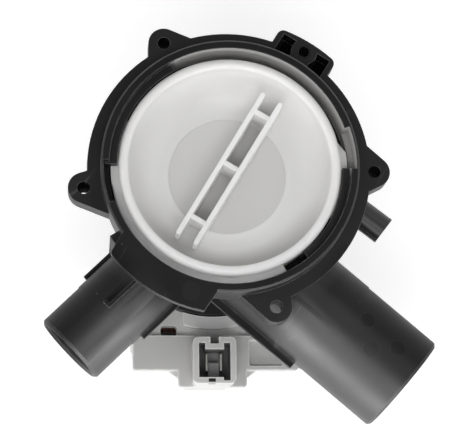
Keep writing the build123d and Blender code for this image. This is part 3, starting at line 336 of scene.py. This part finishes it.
def box_mask(tree, centre, halves, turn):
    # Mask of an upright box that is turned about its middle
    away = vector_node(tree, "SUBTRACT", object_place(tree), centre).outputs["Vector"]
    inside = 1.0
    for axis, half in enumerate(halves):
        way = Matrix.Rotation(radians(turn), 3, "Z").col[axis]
        reach = math_node(tree, "ABSOLUTE", vector_node(tree, "DOT_PRODUCT", away, way).outputs["Value"])
        inside = times(tree, math_node(tree, "LESS_THAN", reach, half), inside)
    return inside


# Tone of dust and scratches, and depth of the moulded grain
DUST_TONE = grey(0.55)
GRAIN_DEPTH = 0.05 * MM

# How much light soaks into the cap's plastic, and how far each of its colours reaches
SOAK_WEIGHT = 0.5
SOAK_COLOUR = (1.0, 0.97, 0.92)


def plastic(
    name, base, tone_share, roughness, grain_height, edge_tone, edge_share, specks,
    specular=0.5, edge_radius=0.5 * MM, edge_sharpness=6.0, scratches=0.0, soak_depth=0.0,
    spare_wear_and_highlight=None, details=None,
):
    # Moulded plastic: base colour with a slow tone, paler edges for edge wear and a painted edge
    # highlight, specks, scratches and a fine grain.
    # What only one moulding has, its own marks and its painted light and shade, comes from its own
    # details.
    material, tree, shader = new_material(name)
    grain = use_group(tree, grain_group)
    wear_and_highlight = use_group(tree, wear_and_highlight_group, Radius=edge_radius, Sharpness=edge_sharpness)
    lines = use_group(tree, scratch_group)
    dust = use_group(tree, dust_group, Amount=specks)
    body = mix_colour(tree, grain.outputs["Tone"], opaque(base, tone_share), opaque(base))
    # Paler edges: edge wear together with a painted highlight along them
    worn_and_lit = times(tree, wear_and_highlight.outputs["Edge"], edge_share)
    if spare_wear_and_highlight:
        worn_and_lit = spare_wear_and_highlight(tree, worn_and_lit)
    edged = mix_colour(tree, worn_and_lit, body, opaque(edge_tone))
    scratched = times(tree, lines.outputs["Lines"], scratches)
    marred = math_node(tree, "MAXIMUM", dust.outputs["Specks"], scratched)
    colour = mix_colour(tree, marred, edged, DUST_TONE)
    low, high = roughness
    rough = ramp(tree, grain.outputs["Tone"], 0.0, 1.0, high, low)
    shine = specular
    if details:
        colour, rough, shine = details(tree, colour, rough, shine)
    if soak_depth:
        shader.inputs["Subsurface Weight"].default_value = SOAK_WEIGHT
        shader.inputs["Subsurface Radius"].default_value = SOAK_COLOUR
        shader.inputs["Subsurface Scale"].default_value = soak_depth
    feed(tree, shader.inputs["Base Color"], colour)
    feed(tree, shader.inputs["Roughness"], rough)
    feed(tree, shader.inputs["Specular IOR Level"], shine)
    add_bump(tree, shader, grain.outputs["Height"], grain_height, GRAIN_DEPTH)
    return material


# Ejector marks on the housing: one on the lobe, three on the inlet pipe
MARK_RADIUS = 2.9 * MM
MARK_EDGE = 0.2 * MM
MARK_RING = 0.25 * MM
MARK_SHADE = (0.5, grey(0.002))
MARK_RING_SHADE = (0.03, grey(0.25))
MARK_ROUGHER = 0.12
MARKS = [
    Vector((11.7, -45.5, 0.0)) * MM,
    Vector((68.9, -18.2, -15.5)) * MM,
    Vector((74.9, -26.6, -14.6)) * MM,
    Vector((82.9, -21.1, -15.2)) * MM,
]

# Pipes: direction, the way to the shinier side, and the middle and radius that way
PIPES = ((351.3, 261.3, 13.6 * MM, 19.0 * MM), (255.9, 345.9, 4.9 * MM, 13.75 * MM))
# Where they leave the flange, where their hose seats start, and how near to it no edge wear or painted
# edge highlight shows
PIPE_ROOT = (46 * MM, 54 * MM)
SEAT_START = 64.0 * MM
SEAT_SPARE = 0.8 * MM
# Across a pipe, in radii: where it is dullest and where shiniest, and by how much
SHEEN_SPAN = (-0.3, 0.7)
SHEEN_CHANGE = (-0.6, 1.0)

# Axes of the screw holes, and the pockets of the clip block; their walls reflect less and are rougher, a
# painted shade in these recesses
HOLE_MASK_RADIUS = 2.45 * MM
HOLE_MASK_EDGE = 0.15 * MM
HOLE_CIRCLE = 51.3 * MM
HOLE_AXES = [flat_way(angle) * HOLE_CIRCLE for angle in (90.0, 31.5, 148.5, 220.0)]
CLIP_POCKETS = (Vector((0, 49.35, -10.8)) * MM, Vector((9.7, 4.1, 3.15)) * MM, 0.0)
HOLE_DULLNESS = 0.88
HOLE_ROUGHER = 0.4

# Level of the collar's front face and lobe, which are a little duller
FRONT_FACE = (-0.6 * MM, -0.3 * MM)
FRONT_DULLNESS = 0.35

# Inner wall of the mouth: its radii and levels, and the painted light on its upper part, a pale grey for
# the light and reflection that fall there
MOUTH_WALL_RADII = (41.9 * MM, 44.2 * MM)
MOUTH_WALL_LEVELS = (-13.1 * MM, -0.4 * MM)
MOUTH_PAINTED_LIGHT_START = (19 * MM, 22 * MM)
MOUTH_PAINTED_LIGHT_SHARE = 0.9
MOUTH_PAINTED_LIGHT_TONE = (0.38, 0.375, 0.37, 1.0)


def spare_seats(tree, worn_and_lit):
    # No edge wear or painted edge highlight on the low shoulders of the pipes
    for angle, *_ in PIPES:
        away = math_node(tree, "SUBTRACT", place_along(tree, flat_way(angle)), SEAT_START)
        apart = math_node(tree, "GREATER_THAN", math_node(tree, "ABSOLUTE", away), SEAT_SPARE)
        worn_and_lit = times(tree, worn_and_lit, apart)
    return worn_and_lit


def round_marks(tree, centres, radius):
    # Mask of round marks, and of the thin ring at their edge
    nearest = nearest_point(tree, centres)
    disc = ramp(tree, nearest, radius, radius - MARK_EDGE)
    off_edge = math_node(tree, "ABSOLUTE", math_node(tree, "SUBTRACT", nearest, radius))
    return disc, ramp(tree, off_edge, MARK_RING, 0.0)


def mark_housing(tree, colour, rough):
    spot, ring = round_marks(tree, MARKS, MARK_RADIUS)
    for mask, (share, tone) in ((spot, MARK_SHADE), (ring, MARK_RING_SHADE)):
        colour = mix_colour(tree, times(tree, mask, share), colour, tone)
    return colour, plus(tree, rough, times(tree, spot, MARK_ROUGHER))


def sheen_pipes(tree, shine):
    # Painted sheen: one side of each pipe reflects less and the other more, as the light falls on them
    for angle, side, middle, radius in PIPES:
        across = math_node(tree, "SUBTRACT", place_along(tree, flat_way(side)), middle)
        beside = math_node(tree, "LESS_THAN", math_node(tree, "ABSOLUTE", across), radius + 1 * MM)
        out = ramp(tree, place_along(tree, flat_way(angle)), *PIPE_ROOT)
        change = ramp(tree, across, SHEEN_SPAN[0] * radius, SHEEN_SPAN[1] * radius, *SHEEN_CHANGE)
        change = times(tree, times(tree, beside, out), change)
        shine = times(tree, shine, plus(tree, change, 1.0))
    return shine


def mouth_painted_light(tree, level):
    # Painted light: a pale grey over the upper part of the mouth's inner wall
    ring = between(tree, axis_distance(tree), *MOUTH_WALL_RADII)
    upper = ramp(tree, place_along(tree, (0, 1, 0)), *MOUTH_PAINTED_LIGHT_START, 0.0, MOUTH_PAINTED_LIGHT_SHARE)
    return times(tree, times(tree, ring, between(tree, level, *MOUTH_WALL_LEVELS)), upper)


def housing_details(tree, colour, rough, shine):
    # Ejector marks, holes and pockets that reflect less as painted shade, a duller front face, painted
    # sheen on one side of each pipe, and painted light on the upper part of the mouth's wall
    colour, rough = mark_housing(tree, colour, rough)
    level = place_along(tree, (0, 0, 1))
    # Painted shade: the walls of the screw holes and of the clip block's pockets reflect less
    off_axis = nearest_point(tree, HOLE_AXES, flat=True)
    hole = ramp(tree, off_axis, HOLE_MASK_RADIUS, HOLE_MASK_RADIUS - HOLE_MASK_EDGE)
    hole = math_node(tree, "MAXIMUM", hole, box_mask(tree, *CLIP_POCKETS))
    face = ramp(tree, level, *FRONT_FACE, 0.0, FRONT_DULLNESS)
    dull = times(tree, math_node(tree, "MAXIMUM", hole, face), -HOLE_DULLNESS)
    shine = sheen_pipes(tree, times(tree, plus(tree, dull, 1.0), shine))
    rough = plus(tree, rough, times(tree, hole, HOLE_ROUGHER))
    return mix_colour(tree, mouth_painted_light(tree, level), colour, MOUTH_PAINTED_LIGHT_TONE), rough, shine


# Cap: where its rim starts, and the rim's tone at the picture's top and at its bottom: painted shade at
# the top, painted light at the bottom
CAP_RIM_START = 35.2 * MM
CAP_RIM_EDGE = 0.3 * MM
CAP_RIM_REACH = 36 * MM
CAP_TOP_RIM_PAINTED_SHADE = (0.72, 0.715, 0.705, 1.0)
CAP_LOW_RIM_PAINTED_LIGHT = (0.98, 0.975, 0.965, 1.0)
# Its dish: the ring of painted light from outside to inside, and the painted shade in the lower corner
CAP_PAINTED_LIGHT_RING = (33 * MM, 22 * MM)
CAP_PAINTED_LIGHT_RING_SHARE = 0.85
CAP_CORNER = (27 * MM, 34.5 * MM)
CAP_SHADE = (-12 * MM, -34 * MM)
CAP_SHADE_TONE = (0.42, 0.415, 0.41, 1.0)
# Its grip, with its painted light, and the flat disc in the middle
GRIP_BOX = (Vector((0, 0, -9.5)) * MM, Vector((5.0, 30.4, 4.6)) * MM, 1.0)
CAP_GRIP_PAINTED_LIGHT = (0.96, 0.955, 0.945, 1.0)
CAP_DISC_RADIUS = 21.0 * MM
CAP_DISC_EDGE = 0.1 * MM
CAP_DISC_LEVELS = (-17.6 * MM, -17.9 * MM)
CAP_DISC_TONE = (0.70, 0.695, 0.685, 1.0)
CAP_DISC_ROUGHER = 0.2


def cap_details(tree, colour, rough, shine):
    # Painted light on the rim, ring and grip, painted shade in the lower corner, and a matter disc in the
    # middle
    away = axis_distance(tree)
    across = place_along(tree, picture_axes()[1])
    # Painted light: the rim and the ring are paler, with painted shade towards the picture's top
    rim = ramp(tree, away, CAP_RIM_START, CAP_RIM_START + CAP_RIM_EDGE)
    bright = math_node(tree, "MAXIMUM", rim, ramp(tree, away, *CAP_PAINTED_LIGHT_RING, 0.0, CAP_PAINTED_LIGHT_RING_SHARE))
    lower = ramp(tree, across, CAP_RIM_REACH, -CAP_RIM_REACH)
    colour = mix_colour(tree, bright, colour, mix_colour(tree, lower, CAP_TOP_RIM_PAINTED_SHADE, CAP_LOW_RIM_PAINTED_LIGHT))
    corner = math_node(tree, "SUBTRACT", ramp(tree, away, *CAP_CORNER), rim, clamp=True)
    corner = times(tree, corner, ramp(tree, across, *CAP_SHADE))
    colour = mix_colour(tree, corner, colour, CAP_SHADE_TONE)
    # Painted light: the grip and the slots between its blades are paler
    colour = mix_colour(tree, box_mask(tree, *GRIP_BOX), colour, CAP_GRIP_PAINTED_LIGHT)
    inside = ramp(tree, away, CAP_DISC_RADIUS + CAP_DISC_EDGE, CAP_DISC_RADIUS - CAP_DISC_EDGE)
    disc = times(tree, inside, ramp(tree, place_along(tree, (0, 0, 1)), *CAP_DISC_LEVELS))
    colour = mix_colour(tree, disc, colour, CAP_DISC_TONE)
    return colour, plus(tree, rough, times(tree, disc, CAP_DISC_ROUGHER)), shine


# Shaded places of the plug socket in the motor's frame: middle and half size in millimetres, and grey.
# They are its inside, the tongue between the tabs, the key notch, the slot at its lower right and the
# latch window.
SOCKET_SHADES = (
    ((0, -54.2, -59.0), (5.85, 6.45, 5.4), 0.14),
    ((-0.1, -55.2, -62.0), (2.2, 4.9, 3.0), 0.24),
    ((0, -46.9, -62.0), (1.45, 1.25, 9.0), 0.03),
    ((4.57, -61.3, -59.0), (1.3, 0.85, 5.4), 0.115),
    ((-1.0, -61.7, -53.3), (1.3, 0.65, 0.8), 0.006),
)


def socket_details(tree, colour, rough, shine):
    for middle, halves, tone in SOCKET_SHADES:
        box = box_mask(tree, motor_point(*(Vector(middle) * MM)), Vector(halves) * MM, MOTOR_TURN)
        colour = mix_colour(tree, box, colour, grey(tone))
    return colour, rough, shine


def metal(name, base, roughness, stripe_scale):
    # Metal with fine marks along one way
    material, tree, shader = new_material(name)
    place = object_place(tree)
    stretch = tree.nodes.new("ShaderNodeMapping")
    stretch.inputs["Scale"].default_value = (1.0, 1.0, stripe_scale)
    tree.links.new(place, stretch.inputs["Vector"])
    marks = noise(tree, stretch.outputs["Vector"], 600.0, 3.0)
    feed(tree, shader.inputs["Base Color"], mix_colour(tree, marks, opaque(base, 0.75), opaque(base)))
    rough = ramp(tree, marks, 0.3, 0.7, roughness * 0.8, roughness * 1.2)
    feed(tree, shader.inputs["Roughness"], rough)
    shader.inputs["Metallic"].default_value = 1.0
    return material


def laminated_steel():
    # Stacked sheets: thin dark lines across the stack's thickness
    material, tree, shader = new_material("laminated_steel")
    place = object_place(tree)
    lines = tree.nodes.new("ShaderNodeTexWave")
    lines.bands_direction = "Z"
    lines.inputs["Scale"].default_value = 630.0
    lines.inputs["Distortion"].default_value = 0.05
    tree.links.new(place, lines.inputs["Vector"])
    sheet = ramp(tree, lines.outputs["Fac"], 0.1, 0.6)
    stains = noise(tree, place, 120.0, 4.0)
    steel = mix_colour(tree, stains, (0.16, 0.15, 0.14, 1.0), (0.33, 0.33, 0.34, 1.0))
    feed(tree, shader.inputs["Base Color"], mix_colour(tree, sheet, (0.09, 0.085, 0.08, 1.0), steel))
    shader.inputs["Metallic"].default_value = 0.8
    shader.inputs["Roughness"].default_value = 0.45
    add_bump(tree, shader, sheet, 0.4, 0.1 * MM)
    return material


def enamelled_copper():
    # Brown enamel over copper, a little uneven along the wire
    material, tree, shader = new_material("enamelled_copper")
    place = object_place(tree)
    patches = ramp(tree, noise(tree, place, 260.0, 3.0), 0.35, 0.65)
    colour = mix_colour(tree, patches, (0.05, 0.018, 0.010, 1.0), (0.15, 0.052, 0.026, 1.0))
    tree.links.new(colour, shader.inputs["Base Color"])
    tree.links.new(ramp(tree, patches, 0.0, 1.0, 0.36, 0.24), shader.inputs["Roughness"])
    shader.inputs["Metallic"].default_value = 0.65
    shader.inputs["Coat Weight"].default_value = 0.4
    shader.inputs["Coat Roughness"].default_value = 0.15
    return material


# Finishes
black_plastic = plastic(
    "black_housing_plastic", (0.0060, 0.0058, 0.0060), 0.70, (0.42, 0.52), 0.25,
    (0.30, 0.30, 0.30), 0.7, 0.012, specular=0.60, edge_radius=0.35 * MM, scratches=0.08,
    spare_wear_and_highlight=spare_seats, details=housing_details,
)
white_plastic = plastic(
    "white_cap_plastic", (0.80, 0.795, 0.785), 0.97, (0.30, 0.40), 0.10,
    (0.88, 0.88, 0.87), 0.5, 0.0, soak_depth=5.0 * MM, details=cap_details,
)
filter_plastic = plastic(
    "white_filter_plastic", (0.72, 0.72, 0.70), 0.92, (0.38, 0.48), 0.10,
    (0.85, 0.85, 0.84), 0.5, 0.0,
)


def grey_moulding(name, base, details=None):
    return plastic(
        name, base, 0.92, (0.40, 0.52), 0.30, (0.90, 0.90, 0.89), 0.9, 0.004,
        edge_radius=0.9 * MM, edge_sharpness=14.0, details=details,
    )


grey_plastic = grey_moulding("grey_motor_plastic", (0.58, 0.575, 0.57))
# The front frame is the same grey plastic as the others, painted paler: painted light where the housing
# shades it
frame_painted_light = grey_moulding("grey_frame_painted_light", (0.74, 0.735, 0.73))
socket_plastic = grey_moulding("grey_socket_plastic", (0.58, 0.575, 0.57), socket_details)
dark_plastic = plastic(
    "dark_grey_plastic", (0.07, 0.07, 0.075), 0.85, (0.40, 0.50), 0.25,
    (0.20, 0.20, 0.20), 0.5, 0.0,
)
seal_rubber = plastic(
    "black_seal_rubber", (0.012, 0.012, 0.012), 0.7, (0.55, 0.70), 0.35,
    (0.03, 0.03, 0.03), 0.3, 0.01,
)
ceramic = plastic(
    "pale_ceramic", (0.55, 0.54, 0.50), 0.9, (0.25, 0.35), 0.05,
    (0.7, 0.69, 0.66), 0.3, 0.0,
)
ferrite = plastic(
    "dark_ferrite", (0.035, 0.035, 0.038), 0.8, (0.45, 0.60), 0.3,
    (0.10, 0.10, 0.10), 0.6, 0.0,
)
shaft_steel = metal("ground_steel", (0.60, 0.60, 0.61), 0.22, 0.1)
screw_steel = metal("zinc_plated_steel", (0.56, 0.56, 0.53), 0.34, 1.0)
tab_metal = metal("tinned_brass", (0.92, 0.91, 0.87), 0.60, 0.2)
core_steel = laminated_steel()
copper = enamelled_copper()

finishes = {
    "pump_housing": black_plastic,
    "filter_cap": white_plastic,
    "cap_seal": seal_rubber,
    "lint_filter": filter_plastic,
    "impeller": filter_plastic,
    "impeller_damper": seal_rubber,
    "hub_cover": filter_plastic,
    "drive_dog": filter_plastic,
    "rotor_shaft": shaft_steel,
    "rotor_magnet": ferrite,
    "thrust_washer": ceramic,
    "rotor_can": dark_plastic,
    "can_seal_ring": seal_rubber,
    "bearing_carrier": dark_plastic,
    "front_bearing": ceramic,
    "shaft_seal": seal_rubber,
    "rear_bearing": ceramic,
    "motor_front_frame": frame_painted_light,
    "motor_screws": screw_steel,
    "stator_core": core_steel,
    "left_bobbin": dark_plastic,
    "right_bobbin": dark_plastic,
    "left_winding": copper,
    "right_winding": copper,
    "coil_cover": grey_plastic,
    "connector_housing": socket_plastic,
    "terminal_tabs": tab_metal,
    "motor_rear_clamp": grey_plastic,
    "core_screws": screw_steel,
}

# Edge rounding of each moulding, on edges sharper than an angle, and the reach of the weld before it
EDGE_STEPS = 2
EDGE_ANGLE = 40
WELD_REACH = 0.002 * MM
edge_rounds = {
    "pump_housing": 0.30 * MM,
    "filter_cap": 0.25 * MM,
    "motor_front_frame": 0.30 * MM,
    "coil_cover": 0.35 * MM,
    "connector_housing": 0.35 * MM,
    "motor_rear_clamp": 0.30 * MM,
    "terminal_tabs": 0.10 * MM,
}


def dress_nodes():
    for name, finish in finishes.items():
        node = nodes[name]
        node.data.materials.clear()
        node.data.materials.append(finish)
        weld = node.modifiers.new("weld", "WELD")
        weld.merge_threshold = WELD_REACH
        if name in edge_rounds:
            edge = node.modifiers.new("edge", "BEVEL")
            edge.width = edge_rounds[name]
            edge.segments = EDGE_STEPS
            edge.limit_method = "ANGLE"
            edge.angle_limit = radians(EDGE_ANGLE)
            edge.use_clamp_overlap = True
            edge.harden_normals = False


# Coils: wound in the CAD windings' space, round the legs of the stator core
COIL_LEG = 17.5 * MM
COIL_MIDDLE = -89.5 * MM
COIL_HALF_WIDTH = 10.4 * MM
COIL_HALF_DEPTH = 16.9 * MM
COIL_HOLE_HALF_WIDTH = 6.5 * MM
COIL_HOLE_HALF_DEPTH = 13.0 * MM
COIL_HOLE_CORNER = 0.2 * MM
COIL_CORNER = 3.0 * MM
COIL_TOP = -21.2 * MM
COIL_BOTTOM = -41.0 * MM
WIRE_RADIUS = 0.26 * MM
WIRE_SIDES = 6
CORNER_STEPS = 5


def rounded_loop(half_width, half_depth, corner):
    # Points of a rounded rectangle with their outward directions
    loop = []
    for quarter, (sign_x, sign_z) in enumerate(((1, 1), (-1, 1), (-1, -1), (1, -1))):
        for step in range(CORNER_STEPS + 1):
            angle = radians(90 * quarter + 90 * step / CORNER_STEPS)
            out = Vector((cos(angle), 0, sin(angle)))
            middle = Vector((sign_x * (half_width - corner), 0, sign_z * (half_depth - corner)))
            loop.append((middle + out * corner, out))
    return loop


def add_mesh(name, points, faces, finish, body, smooth=True):
    mesh = bpy.data.meshes.new(name)
    mesh.from_pydata(points, [], faces)
    mesh.materials.append(finish)
    if smooth:
        mesh.polygons.foreach_set("use_smooth", [True] * len(mesh.polygons))
    piece = bpy.data.objects.new(name, mesh)
    bpy.context.scene.collection.objects.link(piece)
    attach(piece, body)
    return piece


def coil_place(side, point, level):
    return motor_point(side * COIL_LEG + point.x, point.y + level, COIL_MIDDLE + point.z)


def stack_layers(side, name):
    # The inner layers as one ring-shaped block
    half_width = COIL_HALF_WIDTH - 1.5 * WIRE_RADIUS
    half_depth = COIL_HALF_DEPTH - 1.5 * WIRE_RADIUS
    outer = rounded_loop(half_width, half_depth, COIL_CORNER)
    inner = rounded_loop(COIL_HOLE_HALF_WIDTH, COIL_HOLE_HALF_DEPTH, COIL_HOLE_CORNER)
    count = len(outer)
    rings = ((outer, COIL_TOP), (outer, COIL_BOTTOM), (inner, COIL_BOTTOM), (inner, COIL_TOP))
    points = [coil_place(side, place, level) for loop, level in rings for place, _ in loop]
    faces = []
    for ring in range(len(rings)):
        first = ring * count
        after = (ring + 1) % len(rings) * count
        for i in range(count):
            j = (i + 1) % count
            faces.append((first + i, first + j, after + j, after + i))
    add_mesh(name + "_layers", points, faces, copper, "pump", smooth=False)


def wind_wire(side, name, node):
    # The outer layer as one wire that runs down the coil
    half_width = COIL_HALF_WIDTH - WIRE_RADIUS
    half_depth = COIL_HALF_DEPTH - WIRE_RADIUS
    track = rounded_loop(half_width, half_depth, COIL_CORNER - WIRE_RADIUS)
    length = COIL_TOP - COIL_BOTTOM - 2 * WIRE_RADIUS
    steps = int(length / (2 * WIRE_RADIUS)) * len(track)
    points = []
    for step in range(steps + 1):
        place, out = track[step % len(track)]
        level = COIL_TOP - WIRE_RADIUS - length * step / steps
        for k in range(WIRE_SIDES):
            angle = tau * k / WIRE_SIDES
            shift = out * WIRE_RADIUS * cos(angle)
            points.append(coil_place(side, place + shift, level + WIRE_RADIUS * sin(angle)))
    faces = []
    for step in range(steps):
        first = step * WIRE_SIDES
        for k in range(WIRE_SIDES):
            after = (k + 1) % WIRE_SIDES
            faces.append((first + k, first + after, first + WIRE_SIDES + after, first + WIRE_SIDES + k))
    wire = add_mesh(name + "_wire", points, faces, copper, "pump")
    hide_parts(node)


# Ledge round the lower left of the cap, just under the bayonet lips: its angles, and its section as
# radius and level in millimetres
LEDGE_START = 213.0
LEDGE_END = 330.0
LEDGE_STEPS = 78
LEDGE_SECTION = [(38.6, -9.5), (38.6, -6.35), (41.0, -6.35), (41.4, -6.75), (41.4, -9.2), (41.1, -9.5)]


def add_ledge():
    count = len(LEDGE_SECTION)
    points = []
    for step in range(LEDGE_STEPS + 1):
        way = flat_way(LEDGE_START + (LEDGE_END - LEDGE_START) * step / LEDGE_STEPS)
        points += [(way * radius + Vector((0, 0, level))) * MM for radius, level in LEDGE_SECTION]
    faces = [list(range(count)), [LEDGE_STEPS * count + k for k in reversed(range(count))]]
    for step in range(LEDGE_STEPS):
        first = step * count
        for k in range(count):
            after = (k + 1) % count
            faces.append((first + k, first + count + k, first + count + after, first + after))
    add_mesh("cap_ledge", points, faces, white_plastic, "filter", smooth=False)


# Stage: the floor's half size, its glow near by and far out, and the sky's light
FLOOR_GAP = 0.2 * MM
FLOOR_HALF = 1.6
FLOOR_TONE = 0.86
GLOW_SPAN = (0.35, 1.60)
GLOW_STRENGTHS = (0.42, 1.0)
SKY_LIGHT = 0.31
# Height of the sky where it starts to darken and where it is darkest, and its strength there
SKY_SPAN = (0.30, 0.80)
SKY_STRENGTHS = (0.95, 0.06)

# Lamps: place along the picture's right, its up and towards the camera, width, height and power
LAMPS = {
    "front_softbox": ((-0.03, -0.35, 1.00), 0.7, 0.4, 3.7),
    "low_softbox": ((-0.02, -1.00, 0.38), 1.9, 0.5, 11.5),
    "left_softbox": ((-0.75, 0.15, 0.70), 0.6, 0.9, 2.5),
    "right_softbox": ((0.80, 0.20, 0.65), 0.5, 0.8, 2.1),
}


def seen_directly(tree):
    # Mask of the rays of the camera, of reflections and of clear matter
    path = tree.nodes.new("ShaderNodeLightPath")
    seen = math_node(tree, "MAXIMUM", path.outputs["Is Camera Ray"], path.outputs["Is Glossy Ray"])
    return math_node(tree, "MAXIMUM", seen, path.outputs["Is Transmission Ray"])


def floor_finish():
    # Matt floor that glows where it is seen, more so far out, where the lamps reach less
    material = bpy.data.materials.new("pale_floor")
    material.use_nodes = True
    tree = material.node_tree
    tree.nodes.clear()
    output = tree.nodes.new("ShaderNodeOutputMaterial")
    matt = tree.nodes.new("ShaderNodeBsdfDiffuse")
    matt.inputs["Color"].default_value = grey(FLOOR_TONE)
    light = tree.nodes.new("ShaderNodeEmission")
    away = vector_node(tree, "LENGTH", object_place(tree)).outputs["Value"]
    reach = ramp(tree, away, *GLOW_SPAN, *GLOW_STRENGTHS)
    feed(tree, light.inputs["Strength"], times(tree, seen_directly(tree), reach))
    both = tree.nodes.new("ShaderNodeAddShader")
    tree.links.new(matt.outputs[0], both.inputs[0])
    tree.links.new(light.outputs[0], both.inputs[1])
    # Clear from below
    clear = tree.nodes.new("ShaderNodeBsdfTransparent")
    side = tree.nodes.new("ShaderNodeMixShader")
    tree.links.new(tree.nodes.new("ShaderNodeNewGeometry").outputs["Backfacing"], side.inputs["Fac"])
    tree.links.new(both.outputs[0], side.inputs[1])
    tree.links.new(clear.outputs[0], side.inputs[2])
    tree.links.new(side.outputs[0], output.inputs["Surface"])
    return material


def lay_floor():
    level = cad_box[0].z - FLOOR_GAP
    corners = [(-1, -1), (1, -1), (1, 1), (-1, 1)]
    mesh = bpy.data.meshes.new("floor")
    mesh.from_pydata([(x * FLOOR_HALF, y * FLOOR_HALF, level) for x, y in corners], [], [(0, 1, 2, 3)])
    mesh.materials.append(floor_finish())
    floor = bpy.data.objects.new("floor", mesh)
    bpy.context.scene.collection.objects.link(floor)


def light_world():
    # White round about, darker overhead where the camera stands
    world = bpy.data.worlds.new("studio")
    bpy.context.scene.world = world
    world.use_nodes = True
    tree = world.node_tree
    background = tree.nodes["Background"]
    background.inputs["Color"].default_value = grey(1.0)
    parts = tree.nodes.new("ShaderNodeSeparateXYZ")
    tree.links.new(tree.nodes.new("ShaderNodeTexCoord").outputs["Generated"], parts.inputs["Vector"])
    bright = ramp(tree, parts.outputs["Z"], *SKY_SPAN, *SKY_STRENGTHS)
    extra = times(tree, seen_directly(tree), math_node(tree, "SUBTRACT", bright, SKY_LIGHT))
    feed(tree, background.inputs["Strength"], plus(tree, extra, SKY_LIGHT))


def light_studio():
    axes = picture_axes()
    for name, (place, width, height, power) in LAMPS.items():
        data = bpy.data.lights.new(name, "AREA")
        data.shape = "RECTANGLE"
        data.size = width
        data.size_y = height
        data.energy = power
        lamp = bpy.data.objects.new(name, data)
        bpy.context.scene.collection.objects.link(lamp)
        lamp.location = sum((axis * share for axis, share in zip(axes, place)), Vector())
        lamp.rotation_mode = "QUATERNION"
        lamp.rotation_quaternion = (-lamp.location).to_track_quat("-Z", "Y")


place_camera()
dress_nodes()
for side, name, winding in ((-1, "left_coil", "left_winding"), (1, "right_coil", "right_winding")):
    stack_layers(side, name)
    wind_wire(side, name, winding)
add_ledge()
lay_floor()
light_world()
light_studio()
bpy.context.scene.view_settings.view_transform = "Standard"
